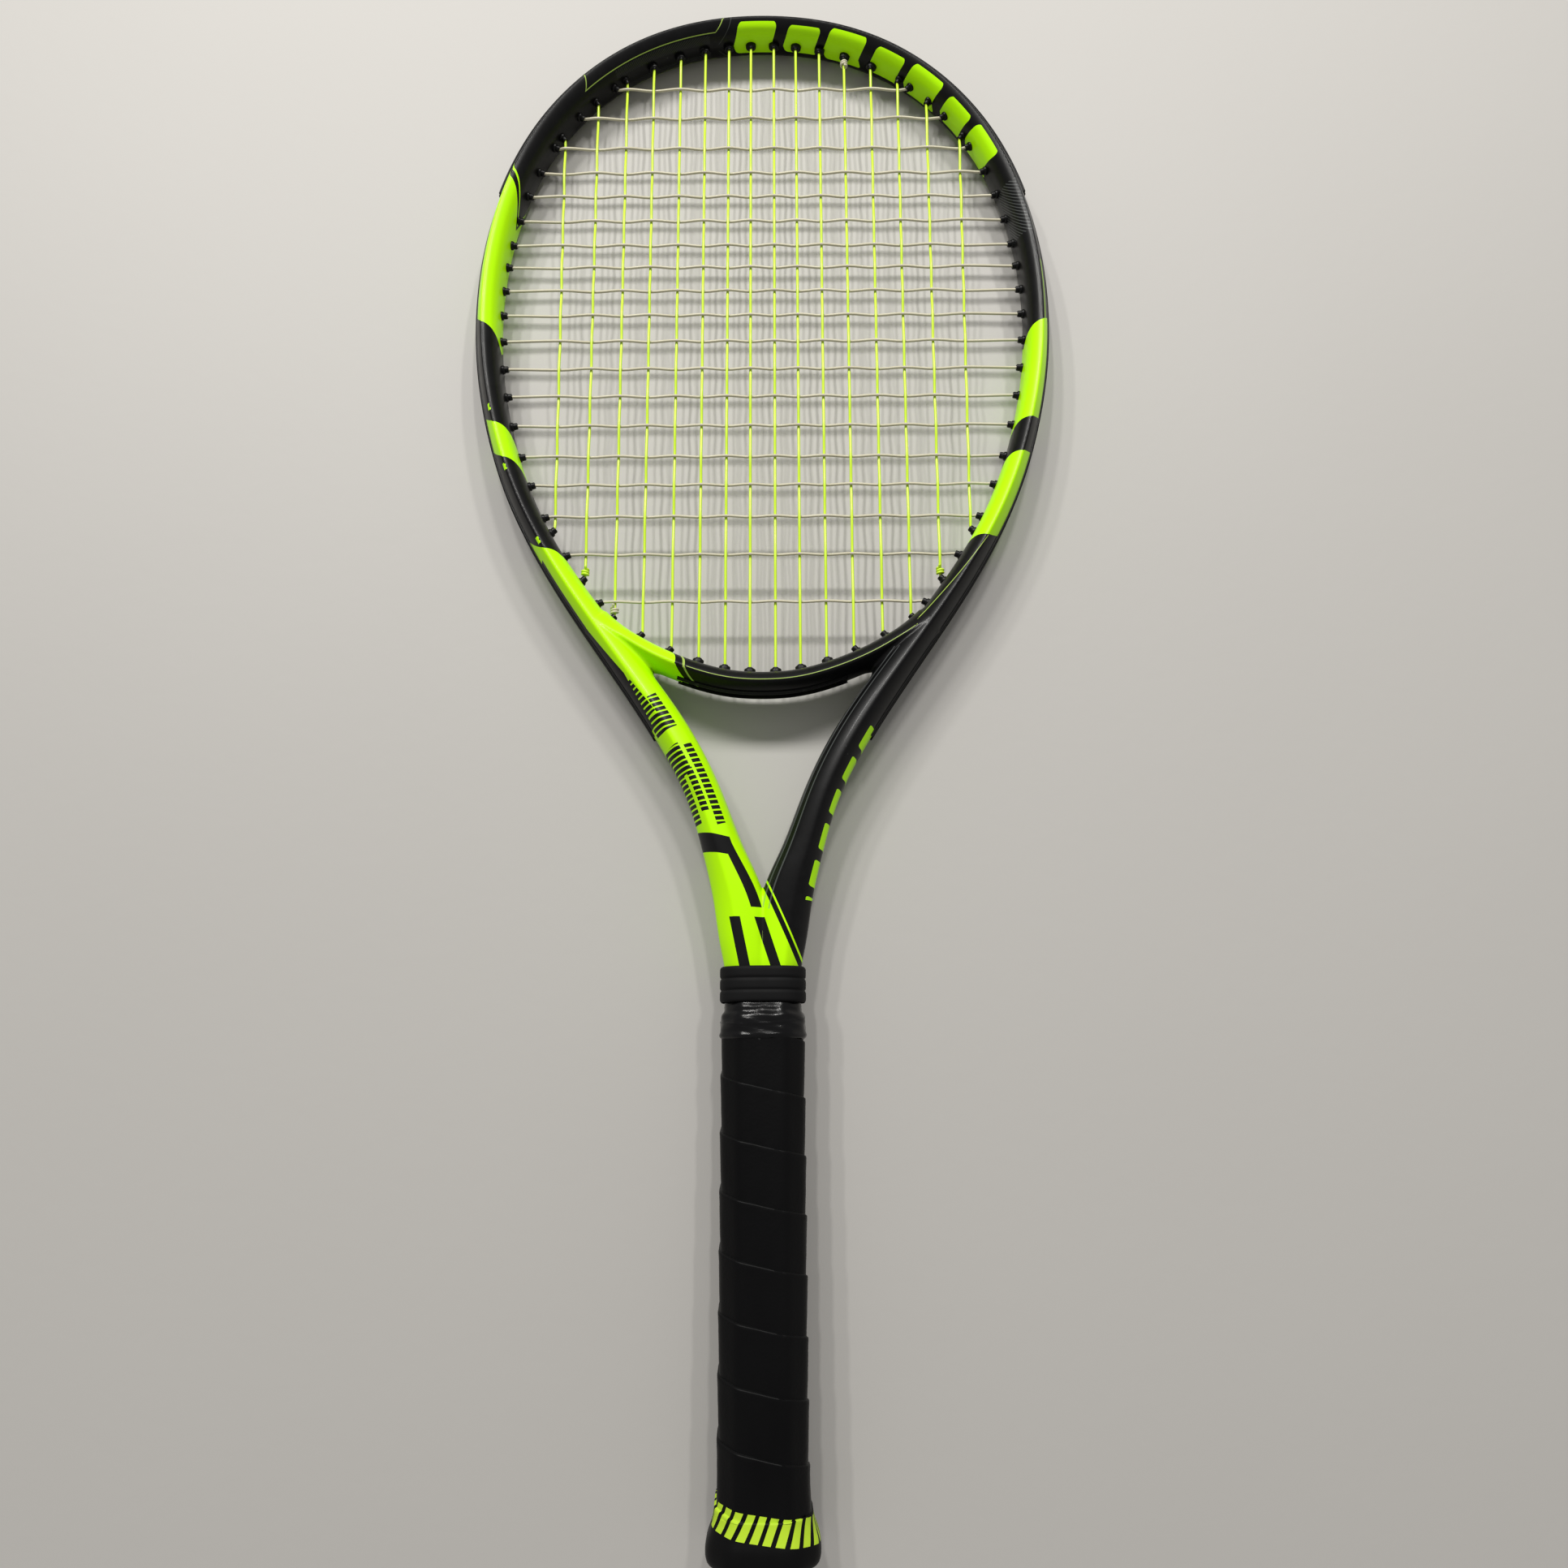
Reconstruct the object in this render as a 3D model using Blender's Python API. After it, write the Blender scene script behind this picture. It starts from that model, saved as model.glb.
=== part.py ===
"""Tennis racket lying flat: string plane horizontal, +Y from the butt to the head tip, +Z up.

Carbon hairpin frame, throat bridge, grommet strips, woven string bed and a wrapped octagonal handle.
Every length below is in millimetres, measured from the butt end along Y and from the racket's axis in X.
"""
import math

import bmesh
import bpy
import numpy as np
from mathutils import Vector

# ---- overall ----
MM = 0.001
LENGTH = 685.8
STRING_PLANE = 18.5
GAP = 0.3

# ---- beam: x, y, half width, half height of the tube centreline from the head tip to the butt ----
BEAM = (
    (0.0, 679.4, 5.2, 10.8),
    (30.0, 676.2, 5.2, 10.9),
    (58.1, 665.6, 5.2, 11.1),
    (82.3, 647.7, 5.2, 11.4),
    (101.6, 624.0, 5.2, 11.7),
    (115.8, 595.0, 5.2, 12.0),
    (124.6, 561.9, 5.2, 12.2),
    (127.9, 525.8, 5.2, 12.3),
    (126.2, 493.7, 5.2, 12.4),
    (120.0, 460.6, 5.2, 12.5),
    (109.4, 427.8, 5.2, 12.6),
    (94.4, 397.8, 5.3, 12.7),
    (76.4, 370.2, 5.9, 12.7),
    (56.2, 342.0, 6.8, 12.6),
    (38.3, 315.2, 7.5, 12.4),
    (25.0, 289.0, 7.6, 12.1),
    (15.7, 262.1, 8.8, 11.8),
    (9.8, 243.5, 10.6, 11.6),
    (7.2, 226.0, 10.4, 11.4),
    (6.2, 217.6, 9.8, 11.2),
    (5.6, 205.6, 9.5, 10.8),
    (4.6, 194.6, 8.8, 10.1),
    (4.5, 184.6, 8.7, 10.0),
    (4.5, 120.0, 8.7, 10.0),
    (4.5, 14.0, 8.7, 10.0),
)
BRIDGE = (
    (0.0, 338.2, 4.8, 10.0),
    (15.0, 339.3, 4.8, 10.1),
    (31.0, 343.6, 4.8, 10.3),
    (47.0, 350.4, 4.8, 10.5),
    (60.0, 358.0, 4.7, 10.7),
    (70.0, 364.6, 4.6, 10.8),
)
BEAM_STEP = 12.0
BRIDGE_STEP = 9.0

# ---- beam section: outward and upward fractions of the half width and half height ----
SECTION = (
    (-1.00, 0.25), (-0.90, 0.52), (-0.55, 0.80), (0.00, 0.97),
    (0.28, 1.00), (0.62, 0.80), (0.90, 0.52), (1.00, 0.36),
)
GROOVE_DEPTH = 1.8
GROOVE_HALF = 3.6
GROOVE_END_Y = 296.0

# ---- strings ----
MAIN_HALF = (5.7, 16.6, 28.3, 40.6, 53.8, 66.9, 80.9, 96.5)
MAIN_FOOT = (5.6, 16.5, 28.0, 40.0, 52.8, 65.4, 79.0, 93.4)
BRIDGE_MAINS = 3
BRIDGE_REACH = 66.0
CROSS_TOP_Y = 647.4
CROSS_GAPS = (16.9, 17.4, 14.0, 13.3, 13.7, 13.5, 12.0, 12.8, 13.1,
              13.8, 14.5, 14.3, 15.0, 15.6, 14.2, 15.6, 18.5, 22.5)
STRING_R = 0.65
WEAVE = 1.62
LANE = 1.6
STRING_OUT = 0.25

# ---- grommets ----
STRIP_BASE = -1.5
STRIP_FLOOR = -0.7
STRIP_HALF = 3.3
CHANNEL_HALF = 2.45
RIDGE = 0.9
BARREL_R = 1.75
BORE_R = 1.05
HOLE_R = 2.1
BARREL_TIP = 1.5
HOLE_SKEW = 0.35
BUMPER_END_Y = 581.5
STRIP_END_Y = 318.0
STRIP_STEP = 12.0

# ---- handle ----
PALLET_TOP = 197.6
PALLET_BOTTOM = 12.0
SHAFT_WAIST = 184.6
PALLET_HALF_W = 15.3
PALLET_HALF_H = 13.4
GRIP_T = 1.5
GRIP_TOP = 187.6
GRIP_BOTTOM = 27.0
TAPE_TOP = 201.1
COLLAR_BOTTOM = 201.8
COLLAR_TOP = 216.0
CAP_TOP = 26.0
FLARE_HALF_W = 21.3
FLARE_HALF_H = 18.5
DOOR_HALF_W = 9.5
DOOR_HALF_H = 7.5


def clear_scene():
    """Remove whatever objects are in the scene."""
    for item in list(bpy.data.objects):
        bpy.data.objects.remove(item, do_unlink=True)


def material(name, colour, roughness, coat=0.0):
    """Make one Principled material."""
    mat = bpy.data.materials.new(name)
    mat.use_nodes = True
    shader = mat.node_tree.nodes["Principled BSDF"]
    shader.inputs["Base Color"].default_value = (*colour, 1.0)
    shader.inputs["Roughness"].default_value = roughness
    shader.inputs["Coat Weight"].default_value = coat
    return mat


def to_world(x, y, z):
    """Racket millimetres to world metres, with the bounding box centred over the origin."""
    return Vector((x, y - LENGTH / 2, z + STRING_PLANE)) * MM


class Curve:
    """Natural cubic spline through planar stations that also carry a half width and half height."""

    def __init__(self, stations, outward):
        stations = np.array(stations, float)
        mirrored = stations[:0:-1] * np.array([-1, 1, 1, 1])
        self.points = np.vstack([mirrored, stations])
        gaps = np.linalg.norm(np.diff(self.points[:, :2], axis=0), axis=1)
        self.knots = np.concatenate([[0.0], np.cumsum(gaps)])
        self.knots -= self.knots[len(stations) - 1]
        self.second = self.solve_second()
        self.outward = outward
        self.end = self.knots[-1]

    def solve_second(self):
        """Second derivatives of the natural spline at the knots."""
        h = np.diff(self.knots)
        count = len(self.knots)
        matrix = np.eye(count)
        right = np.zeros((count, self.points.shape[1]))
        for i in range(1, count - 1):
            matrix[i, i - 1:i + 2] = (h[i - 1], 2 * (h[i - 1] + h[i]), h[i])
            rise = (self.points[i + 1] - self.points[i]) / h[i]
            run = (self.points[i] - self.points[i - 1]) / h[i - 1]
            right[i] = 6 * (rise - run)
        return np.linalg.solve(matrix, right)

    def at(self, s):
        """Station values x, y, half width, half height at arc position s."""
        i = int(np.clip(np.searchsorted(self.knots, s) - 1, 0, len(self.knots) - 2))
        h = self.knots[i + 1] - self.knots[i]
        a = (self.knots[i + 1] - s) / h
        b = 1.0 - a
        bend = (a ** 3 - a) * self.second[i] + (b ** 3 - b) * self.second[i + 1]
        return a * self.points[i] + b * self.points[i + 1] + bend * h * h / 6

    def frame(self, s):
        """Centre, outward normal, half width and half height at s."""
        value = self.at(s)
        tangent = self.at(s + 0.05)[:2] - self.at(s - 0.05)[:2]
        tangent /= np.linalg.norm(tangent)
        normal = np.array([-tangent[1], tangent[0]]) * self.outward
        return value[:2], normal, value[2], value[3]

    def offset(self, s, distance):
        """Point at a sideways distance from the centreline."""
        centre, normal, _, _ = self.frame(s)
        return centre + normal * distance

    def nose(self, s, distance):
        """Point at a distance outside the tube's outer nose."""
        centre, normal, half_w, _ = self.frame(s)
        return centre + normal * (half_w + distance)

    def find(self, test, low, high):
        """Arc position where test changes sign between low and high."""
        start = test(low)
        for _ in range(50):
            middle = (low + high) / 2
            if (test(middle) > 0) == (start > 0):
                low = middle
            else:
                high = middle
        return (low + high) / 2


def mesh_object(name, verts, faces, mat):
    """Object from vertices and faces, with every face wound outwards."""
    mesh = bpy.data.meshes.new(name)
    mesh.from_pydata([tuple(v) for v in verts], [], faces)
    bm = bmesh.new()
    bm.from_mesh(mesh)
    bmesh.ops.recalc_face_normals(bm, faces=bm.faces)
    bm.to_mesh(mesh)
    bm.free()
    item = bpy.data.objects.new(name, mesh)
    item.data.materials.append(mat)
    bpy.context.collection.objects.link(item)
    return item


def loft(name, rings, mat, closed=False):
    """Skin a list of equal rings, capped at both ends unless the rings form a loop."""
    size = len(rings[0])
    verts = [point for ring in rings for point in ring]
    faces = []
    last = len(rings) if closed else len(rings) - 1
    for i in range(last):
        j = (i + 1) % len(rings)
        for k in range(size):
            m = (k + 1) % size
            faces.append((i * size + k, i * size + m, j * size + m, j * size + k))
    if not closed:
        faces.append(tuple(range(size)))
        faces.append(tuple(len(verts) - size + k for k in range(size)))
    return mesh_object(name, verts, faces, mat)


def bake(item):
    """Replace an object's mesh with its evaluated modifiers."""
    graph = bpy.context.evaluated_depsgraph_get()
    mesh = bpy.data.meshes.new_from_object(item.evaluated_get(graph))
    item.modifiers.clear()
    item.data = mesh


def boolean(item, cutter, operation, keep=False):
    """Exact boolean between two objects; the cutter is removed unless kept."""
    step = item.modifiers.new("cut", "BOOLEAN")
    step.operation = operation
    step.solver = "EXACT"
    step.object = cutter
    bpy.context.view_layer.update()
    bake(item)
    if not keep:
        bpy.data.objects.remove(cutter, do_unlink=True)


def join(name, items, mat):
    """Join several objects' meshes into one new object."""
    bm = bmesh.new()
    for item in items:
        bm.from_mesh(item.data)
        bpy.data.objects.remove(item, do_unlink=True)
    mesh = bpy.data.meshes.new(name)
    bm.to_mesh(mesh)
    bm.free()
    item = bpy.data.objects.new(name, mesh)
    item.data.materials.append(mat)
    bpy.context.collection.objects.link(item)
    return item


def shade(item, smooth_angle=None):
    """Smooth shading below an angle, flat above it."""
    for face in item.data.polygons:
        face.use_smooth = smooth_angle is not None
    if smooth_angle is not None:
        bm = bmesh.new()
        bm.from_mesh(item.data)
        for edge in bm.edges:
            if len(edge.link_faces) == 2:
                edge.smooth = edge.calc_face_angle(0.0) < math.radians(smooth_angle)
        bm.to_mesh(item.data)
        bm.free()


def centre_origin(item, point):
    """Put the object's origin at a world point without moving the mesh."""
    for vertex in item.data.vertices:
        vertex.co -= point
    item.location = point


def beam_profile(half_w, half_h, groove_depth, groove_half):
    """Closed section polygon of the tube with its string groove on the outer nose."""
    upper = [(n * half_w, z * half_h) for n, z in SECTION]
    upper.append((half_w, groove_half))
    upper.append((half_w - groove_depth, groove_half))
    return upper + [(n, -z) for n, z in reversed(upper)]


def ring_at(curve, s, profile):
    """Place a section polygon across the curve at s."""
    centre, normal, _, _ = curve.frame(s)
    return [to_world(*(centre + normal * n), z) for n, z in profile]


def positions(start, end, step):
    """Evenly spaced arc positions from start to end."""
    count = max(2, int(math.ceil(abs(end - start) / step)) + 1)
    return np.linspace(start, end, count)


def groove_depth_at(curve, s):
    """The string groove fades out along the throat arm."""
    y = curve.at(s)[1]
    return GROOVE_DEPTH * float(np.clip((y - GROOVE_END_Y) / 12.0, 0.02, 1.0))


def beam_solid(name, curve, stations, mat, grow=0.0, groove=True):
    """Sweep the tube section through arc positions along a curve."""
    rings = []
    for s in stations:
        _, _, half_w, half_h = curve.frame(s)
        depth = groove_depth_at(curve, s) if groove else 0.05
        profile = beam_profile(half_w + grow, half_h + grow, depth, GROOVE_HALF)
        rings.append(ring_at(curve, s, profile))
    return loft(name, rings, mat)


def mirror_across_axis(item):
    """Cut the solid at the racket's axis and mirror its right half."""
    step = item.modifiers.new("mirror", "MIRROR")
    step.use_axis[0] = True
    step.use_bisect_axis[0] = True
    step.merge_threshold = 0.00001
    bpy.context.view_layer.update()
    bake(item)


# ---- string holes ----

def hole_for(curve, mouth, travel, near):
    """Mouth point, unit direction and outer exit of one string hole."""
    s = near
    for _ in range(12):
        _, normal, _, _ = curve.frame(s)
        direction = normal + HOLE_SKEW * np.array(travel, float)
        direction /= np.linalg.norm(direction)

        def side(t):
            offset = mouth - curve.nose(t, STRING_OUT)
            return direction[0] * offset[1] - direction[1] * offset[0]

        s = curve.find(side, s - 30.0, s + 30.0)
    return {"mouth": mouth, "dir": direction, "exit": curve.nose(s, STRING_OUT), "s": s, "curve": curve}


def inner_offset(curve, s):
    """Distance of the barrel tips inside the centreline."""
    return -(curve.at(s)[2] + BARREL_TIP + 0.8)


def main_holes(beam, bridge):
    """Holes of the right half mains: tops in the hoop, bottoms in the bridge or lower hoop."""
    tops, bottoms = [], []
    widest = beam.find(lambda s: beam.at(s)[1] - 525.8, 0.0, 350.0)
    for index, (x, foot) in enumerate(zip(MAIN_HALF, MAIN_FOOT)):
        s = beam.find(lambda t: beam.offset(t, inner_offset(beam, t))[0] - x, 0.0, widest)
        tops.append(hole_for(beam, beam.offset(s, inner_offset(beam, s)), (0, 1), s))
        wall = bridge if foot < BRIDGE_REACH else beam
        low, high = (0.0, bridge.end) if wall is bridge else (widest, widest + 170.0)
        s = wall.find(lambda t: wall.offset(t, inner_offset(wall, t))[0] - foot, low, high)
        mouth = wall.offset(s, inner_offset(wall, s))
        if index < BRIDGE_MAINS:
            bottoms.append(hole_for(bridge, mouth, (0, -1), s))
        else:
            guess = beam.find(lambda t: beam.at(t)[1] - mouth[1] + 12.0, widest, beam.end)
            bottoms.append(hole_for(beam, mouth, (0, -1), guess))
    return tops, bottoms


def cross_ys():
    """Heights of the cross strings from the head down."""
    return [CROSS_TOP_Y - sum(CROSS_GAPS[:i]) for i in range(len(CROSS_GAPS) + 1)]


def cross_holes(beam):
    """Right-hand holes of the cross strings."""
    holes = []
    low = beam.find(lambda s: beam.at(s)[1] - 660.0, 0.0, 150.0)
    high = beam.find(lambda s: beam.at(s)[1] - 360.0, 300.0, 460.0)
    for y in cross_ys():
        s = beam.find(lambda t: beam.offset(t, inner_offset(beam, t))[1] - y, low, high)
        holes.append(hole_for(beam, beam.offset(s, inner_offset(beam, s)), (1, 0), s))
    return holes


def mirrored(hole):
    """The same hole on the left half."""
    flip = np.array([-1.0, 1.0])
    return {**hole, "mouth": hole["mouth"] * flip, "dir": hole["dir"] * flip,
            "exit": hole["exit"] * flip, "s": -hole["s"]}


def prism(name, start, end, radius, sides, mat, twist=0.5):
    """Straight prism between two world points."""
    axis = (end - start).normalized()
    side = axis.cross(Vector((0, 0, 1))).normalized()
    up = side.cross(axis)
    rings = []
    for point in (start, end):
        ring = []
        for k in range(sides):
            angle = 2 * math.pi * (k + twist) / sides
            ring.append(point + (side * math.cos(angle) + up * math.sin(angle)) * radius * MM)
        rings.append(ring)
    return loft(name, rings, mat)


def hole_prism(hole, inside, outside, radius, mat):
    """Prism along a hole from past its mouth to past its outer exit."""
    start = hole["mouth"] - hole["dir"] * inside
    end = hole["exit"] + hole["dir"] * outside
    return prism("hole", to_world(*start, 0), to_world(*end, 0), radius, 6, mat)


def hole_cutter(holes, inside, outside, radius, mat):
    """All the hole prisms as one cutter."""
    cutter = join("cutter", [hole_prism(hole, inside, outside, radius, mat) for hole in holes], mat)
    cutter.hide_render = True
    cutter.display_type = "WIRE"
    return cutter


# ---- head parts ----

def build_frame(beam, holes, mat):
    """Carbon hairpin: hoop, two throat arms and the shaft inside the handle."""
    waist = beam.find(lambda s: beam.at(s)[1] - SHAFT_WAIST, 500.0, beam.end)
    stations = [*positions(-4.0, waist, BEAM_STEP), beam.end]
    item = beam_solid("frame", beam, stations, mat)
    mirror_across_axis(item)
    boolean(item, hole_cutter(holes, -1.0, 3.0, HOLE_R, mat), "DIFFERENCE")
    shade(item, 32)
    return item


def build_bridge(beam, bridge, holes, mat):
    """Yoke that closes the bottom of the hoop, ending just short of the hairpin's inner walls."""
    item = beam_solid("throat_bridge", bridge, positions(-bridge.end, bridge.end, BRIDGE_STEP), mat)
    for side in (1, -1):
        start = beam.find(lambda s: beam.at(s)[1] - 400.0, 300.0, 420.0)
        stop = beam.find(lambda s: beam.at(s)[1] - 318.0, 380.0, 560.0)
        stations = positions(side * start, side * stop, BEAM_STEP)
        arm = beam_solid("cutter", beam, stations, mat, grow=GAP, groove=False)
        boolean(item, arm, "DIFFERENCE")
    boolean(item, hole_cutter(holes, 1.0, 3.0, HOLE_R, mat), "DIFFERENCE")
    shade(item, 32)
    return item


def strip_profile():
    """Grommet strip section: a base in the groove with two ridges beside the string channel."""
    upper = [(STRIP_BASE, STRIP_HALF), (RIDGE, STRIP_HALF), (RIDGE, CHANNEL_HALF + 0.1),
             (STRIP_FLOOR, CHANNEL_HALF)]
    return upper + [(n, -z) for n, z in reversed(upper)]


def bumper_profile():
    """Bumper guard section: the strip section widened into wings over the hoop's nose."""
    upper = [(STRIP_BASE, STRIP_HALF), (0.3, STRIP_HALF), (0.3, 4.2), (-0.3, 6.2), (0.6, 6.7),
             (1.2, 4.4), (1.2, CHANNEL_HALF + 0.1), (STRIP_FLOOR, CHANNEL_HALF)]
    return upper + [(n, -z) for n, z in reversed(upper)]


def build_strip(name, curve, start, end, profile, holes, mat):
    """A grommet strip or bumper guard with one hollow barrel for each string hole it covers."""
    rings = []
    for s in positions(start, end, STRIP_STEP):
        half_w = curve.at(s)[2]
        rings.append(ring_at(curve, s, [(half_w + n, z) for n, z in profile]))
    item = loft(name, rings, mat)
    for hole in holes:
        start_point = hole["exit"] - hole["dir"] * (STRING_OUT - STRIP_BASE - 0.35)
        end_point = hole["mouth"] + hole["dir"] * 0.8
        barrel = prism("barrel", to_world(*end_point, 0), to_world(*start_point, 0), BARREL_R, 6, mat)
        boolean(item, barrel, "UNION")
    boolean(item, hole_cutter(holes, 2.0, 4.0, BORE_R, mat), "DIFFERENCE")
    shade(item, 32)
    return item


def tube(name, path, radius, sides, mat, twist=0.5):
    """Round-ish tube along a polyline, mitred at every bend."""
    points = [to_world(*p) for p in path]
    rings = []
    up = Vector((0, 0, 1))
    for i, point in enumerate(points):
        ahead = (points[min(i + 1, len(points) - 1)] - points[min(i, len(points) - 2)]).normalized()
        behind = (points[max(i, 1)] - points[max(i - 1, 0)]).normalized()
        tangent = (ahead + behind).normalized()
        stretch = 1.0 / max(0.6, tangent.dot(ahead))
        bend = ahead - behind
        side = tangent.cross(up).normalized()
        top = side.cross(tangent)
        ring = []
        for k in range(sides):
            angle = 2 * math.pi * (k + twist) / sides
            spoke = side * math.cos(angle) + top * math.sin(angle)
            if bend.length > 1e-4:
                knee = bend.normalized()
                spoke += knee * spoke.dot(knee) * (stretch - 1.0)
            ring.append(point + spoke * radius * MM)
        rings.append(ring)
    return loft(name, rings, mat)


def outside_run(first, second, lane):
    """String path from one hole's exit along the outer channel to the next hole's exit."""
    curve = first["curve"]
    direction = 1.0 if second["s"] > first["s"] else -1.0
    points = []
    out = first["exit"] - first["dir"] * 0.75
    points.append((*out, 0.0))
    near = curve.nose(first["s"] + direction * 0.6, STRING_OUT)
    points.append((*near, lane * 0.35))
    start = first["s"] + direction * 3.0
    end = second["s"] - direction * 3.0
    for s in positions(start, end, 10.0):
        points.append((*curve.nose(s, STRING_OUT), lane))
    near = curve.nose(second["s"] - direction * 0.6, STRING_OUT)
    points.append((*near, lane * 0.35))
    back = second["exit"] - second["dir"] * 0.75
    points.append((*back, 0.0))
    return points


def loose_end(hole, lane, direction, length):
    """Short tail of string along the outer channel past its last hole."""
    curve = hole["curve"]
    points = [(*(hole["exit"] - hole["dir"] * 0.75), 0.0)]
    points.append((*curve.nose(hole["s"] + direction * 0.6, STRING_OUT), lane * 0.35))
    points.append((*curve.nose(hole["s"] + direction * 3.0, STRING_OUT), lane))
    points.append((*curve.nose(hole["s"] + direction * length, STRING_OUT), lane))
    return points


def build_main_string(tops, bottoms, mat):
    """One string: centre loop at the bridge, then up and down to the outermost mains on both sides."""
    count = len(MAIN_HALF)
    right = []
    for i in range(count):
        run = [(*bottoms[i]["mouth"], 0.0), (*tops[i]["mouth"], 0.0)]
        if i % 2 == 0:
            right += run
            right += outside_run(tops[i], tops[i + 1], LANE)
        else:
            right += run[::-1]
            if i + 1 < count:
                right += outside_run(bottoms[i], bottoms[i + 1], LANE)
    right += loose_end(bottoms[-1], LANE, 1.0, 9.0)
    left = [(-x, y, z) for x, y, z in right]
    centre = outside_run(mirrored(bottoms[0]), bottoms[0], LANE)
    item = tube("main_string", left[::-1] + centre + right, STRING_R, 6, mat)
    shade(item, 40)
    return item


def crossings(y, tops, bottoms):
    """Where the right half mains are at height y, as (index, x), leaving out those that stop short."""
    found = []
    for k, (top, bottom) in enumerate(zip(tops, bottoms)):
        (x_top, y_top), (x_foot, y_foot) = top["mouth"], bottom["mouth"]
        if y_foot + 1.0 < y < y_top - 1.0:
            found.append((k, x_foot + (x_top - x_foot) * (y - y_foot) / (y_top - y_foot)))
    return found


def build_cross_string(holes, tops, bottoms, mat):
    """One string woven over and under the mains from the head down to the throat."""
    path = loose_end(holes[0], -LANE, -1.0, 9.0)[::-1]
    for row, hole in enumerate(holes):
        y = hole["mouth"][1]
        right = [(x, y, WEAVE * (-1) ** (row + k)) for k, x in crossings(y, tops, bottoms)]
        left = [(-x, y, -z) for x, _, z in right]
        weave = left[::-1] + right
        run = [(*mirrored(hole)["mouth"], 0.0)] + weave + [(*hole["mouth"], 0.0)]
        leftward = row % 2 == 0
        path += run[::-1] if leftward else run
        if row + 1 < len(holes):
            pair = (hole, holes[row + 1])
            if leftward:
                pair = (mirrored(pair[0]), mirrored(pair[1]))
            path += outside_run(pair[0], pair[1], -LANE)
    path += loose_end(mirrored(holes[-1]), -LANE, -1.0, 9.0)
    item = tube("cross_string", path, STRING_R, 4, mat, twist=0.0)
    shade(item, 50)
    return item


# ---- handle parts ----

def octagon(half_w, half_h, y, chamfer=0.52):
    """Octagonal handle section with a bevel on each corner."""
    cut = half_h * chamfer
    corners = [(half_w, half_h - cut), (half_w - cut, half_h), (-half_w + cut, half_h), (-half_w, half_h - cut)]
    ring = corners + [(-x, -z) for x, z in corners]
    return [to_world(x, y, z) for x, z in ring]


def octagon_solid(name, stations, mat):
    """Loft octagons given as y, half width, half height."""
    return loft(name, [octagon(w, h, y) for y, w, h in stations], mat)


def box(name, low, high, mat):
    """Axis-aligned box between two racket points."""
    ring = [(low[0], low[2]), (high[0], low[2]), (high[0], high[2]), (low[0], high[2])]
    return loft(name, [[to_world(x, y, z) for x, z in ring] for y in (low[1], high[1])], mat)


def staple_points(side, level):
    """Centre of a staple crown on the cap skirt: side is left or right, level is above or below."""
    return side * 4.6, 19.0, level * (PALLET_HALF_H + 0.8)


def staple(name, side, level, grow, mat):
    """Wire staple: a crown on the cap and two legs into the foam."""
    x, y, z = staple_points(side, level)
    half, wire, leg = 3.2, 0.4 + grow, 4.0
    top = z + level * (wire + (6.0 if grow else 0.0))
    crown = box(name, (x - half - wire, y - wire, min(z - level * wire, top)),
                (x + half + wire, y + wire, max(z - level * wire, top)), mat)
    for foot in (-1, 1):
        cx = x + foot * half
        low, high = sorted((z, z - level * (leg + grow)))
        boolean(crown, box("leg", (cx - wire, y - wire, low), (cx + wire, y + wire, high), mat), "UNION")
    return crown


def shaft_socket(beam, mat):
    """Cutter for the hairpin's shaft with clearance all round."""
    rings = []
    for y in (PALLET_TOP + 3.0, SHAFT_WAIST, PALLET_BOTTOM - 3.0):
        s = beam.end if y < PALLET_BOTTOM else beam.find(lambda t: beam.at(t)[1] - y, 500.0, beam.end)
        x, _, half_w, half_h = beam.at(s)
        rings.append(octagon(x + half_w + GAP + 0.2, half_h + GAP + 0.1, y, chamfer=0.36))
    return loft("cutter", rings, mat)


def build_pallets(beam, mat):
    """Two moulded foam halves that clasp the shaft and give the handle its octagon."""
    halves = []
    for name, level in (("handle_pallet_upper", 1), ("handle_pallet_lower", -1)):
        item = octagon_solid(name, (
            (PALLET_BOTTOM, PALLET_HALF_W, PALLET_HALF_H),
            (PALLET_TOP - 6.0, PALLET_HALF_W, PALLET_HALF_H),
            (PALLET_TOP, PALLET_HALF_W - 1.2, PALLET_HALF_H - 1.2),
        ), mat)
        boolean(item, shaft_socket(beam, mat), "DIFFERENCE")
        low, high = (-30.0, GAP / 2) if level > 0 else (-GAP / 2, 30.0)
        boolean(item, box("cutter", (-30, 0, low), (30, 230, high), mat), "DIFFERENCE")
        for side in (-1, 1):
            boolean(item, staple("cutter", side, level, GAP, mat), "DIFFERENCE")
        shade(item)
        halves.append(item)
    return halves


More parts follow.
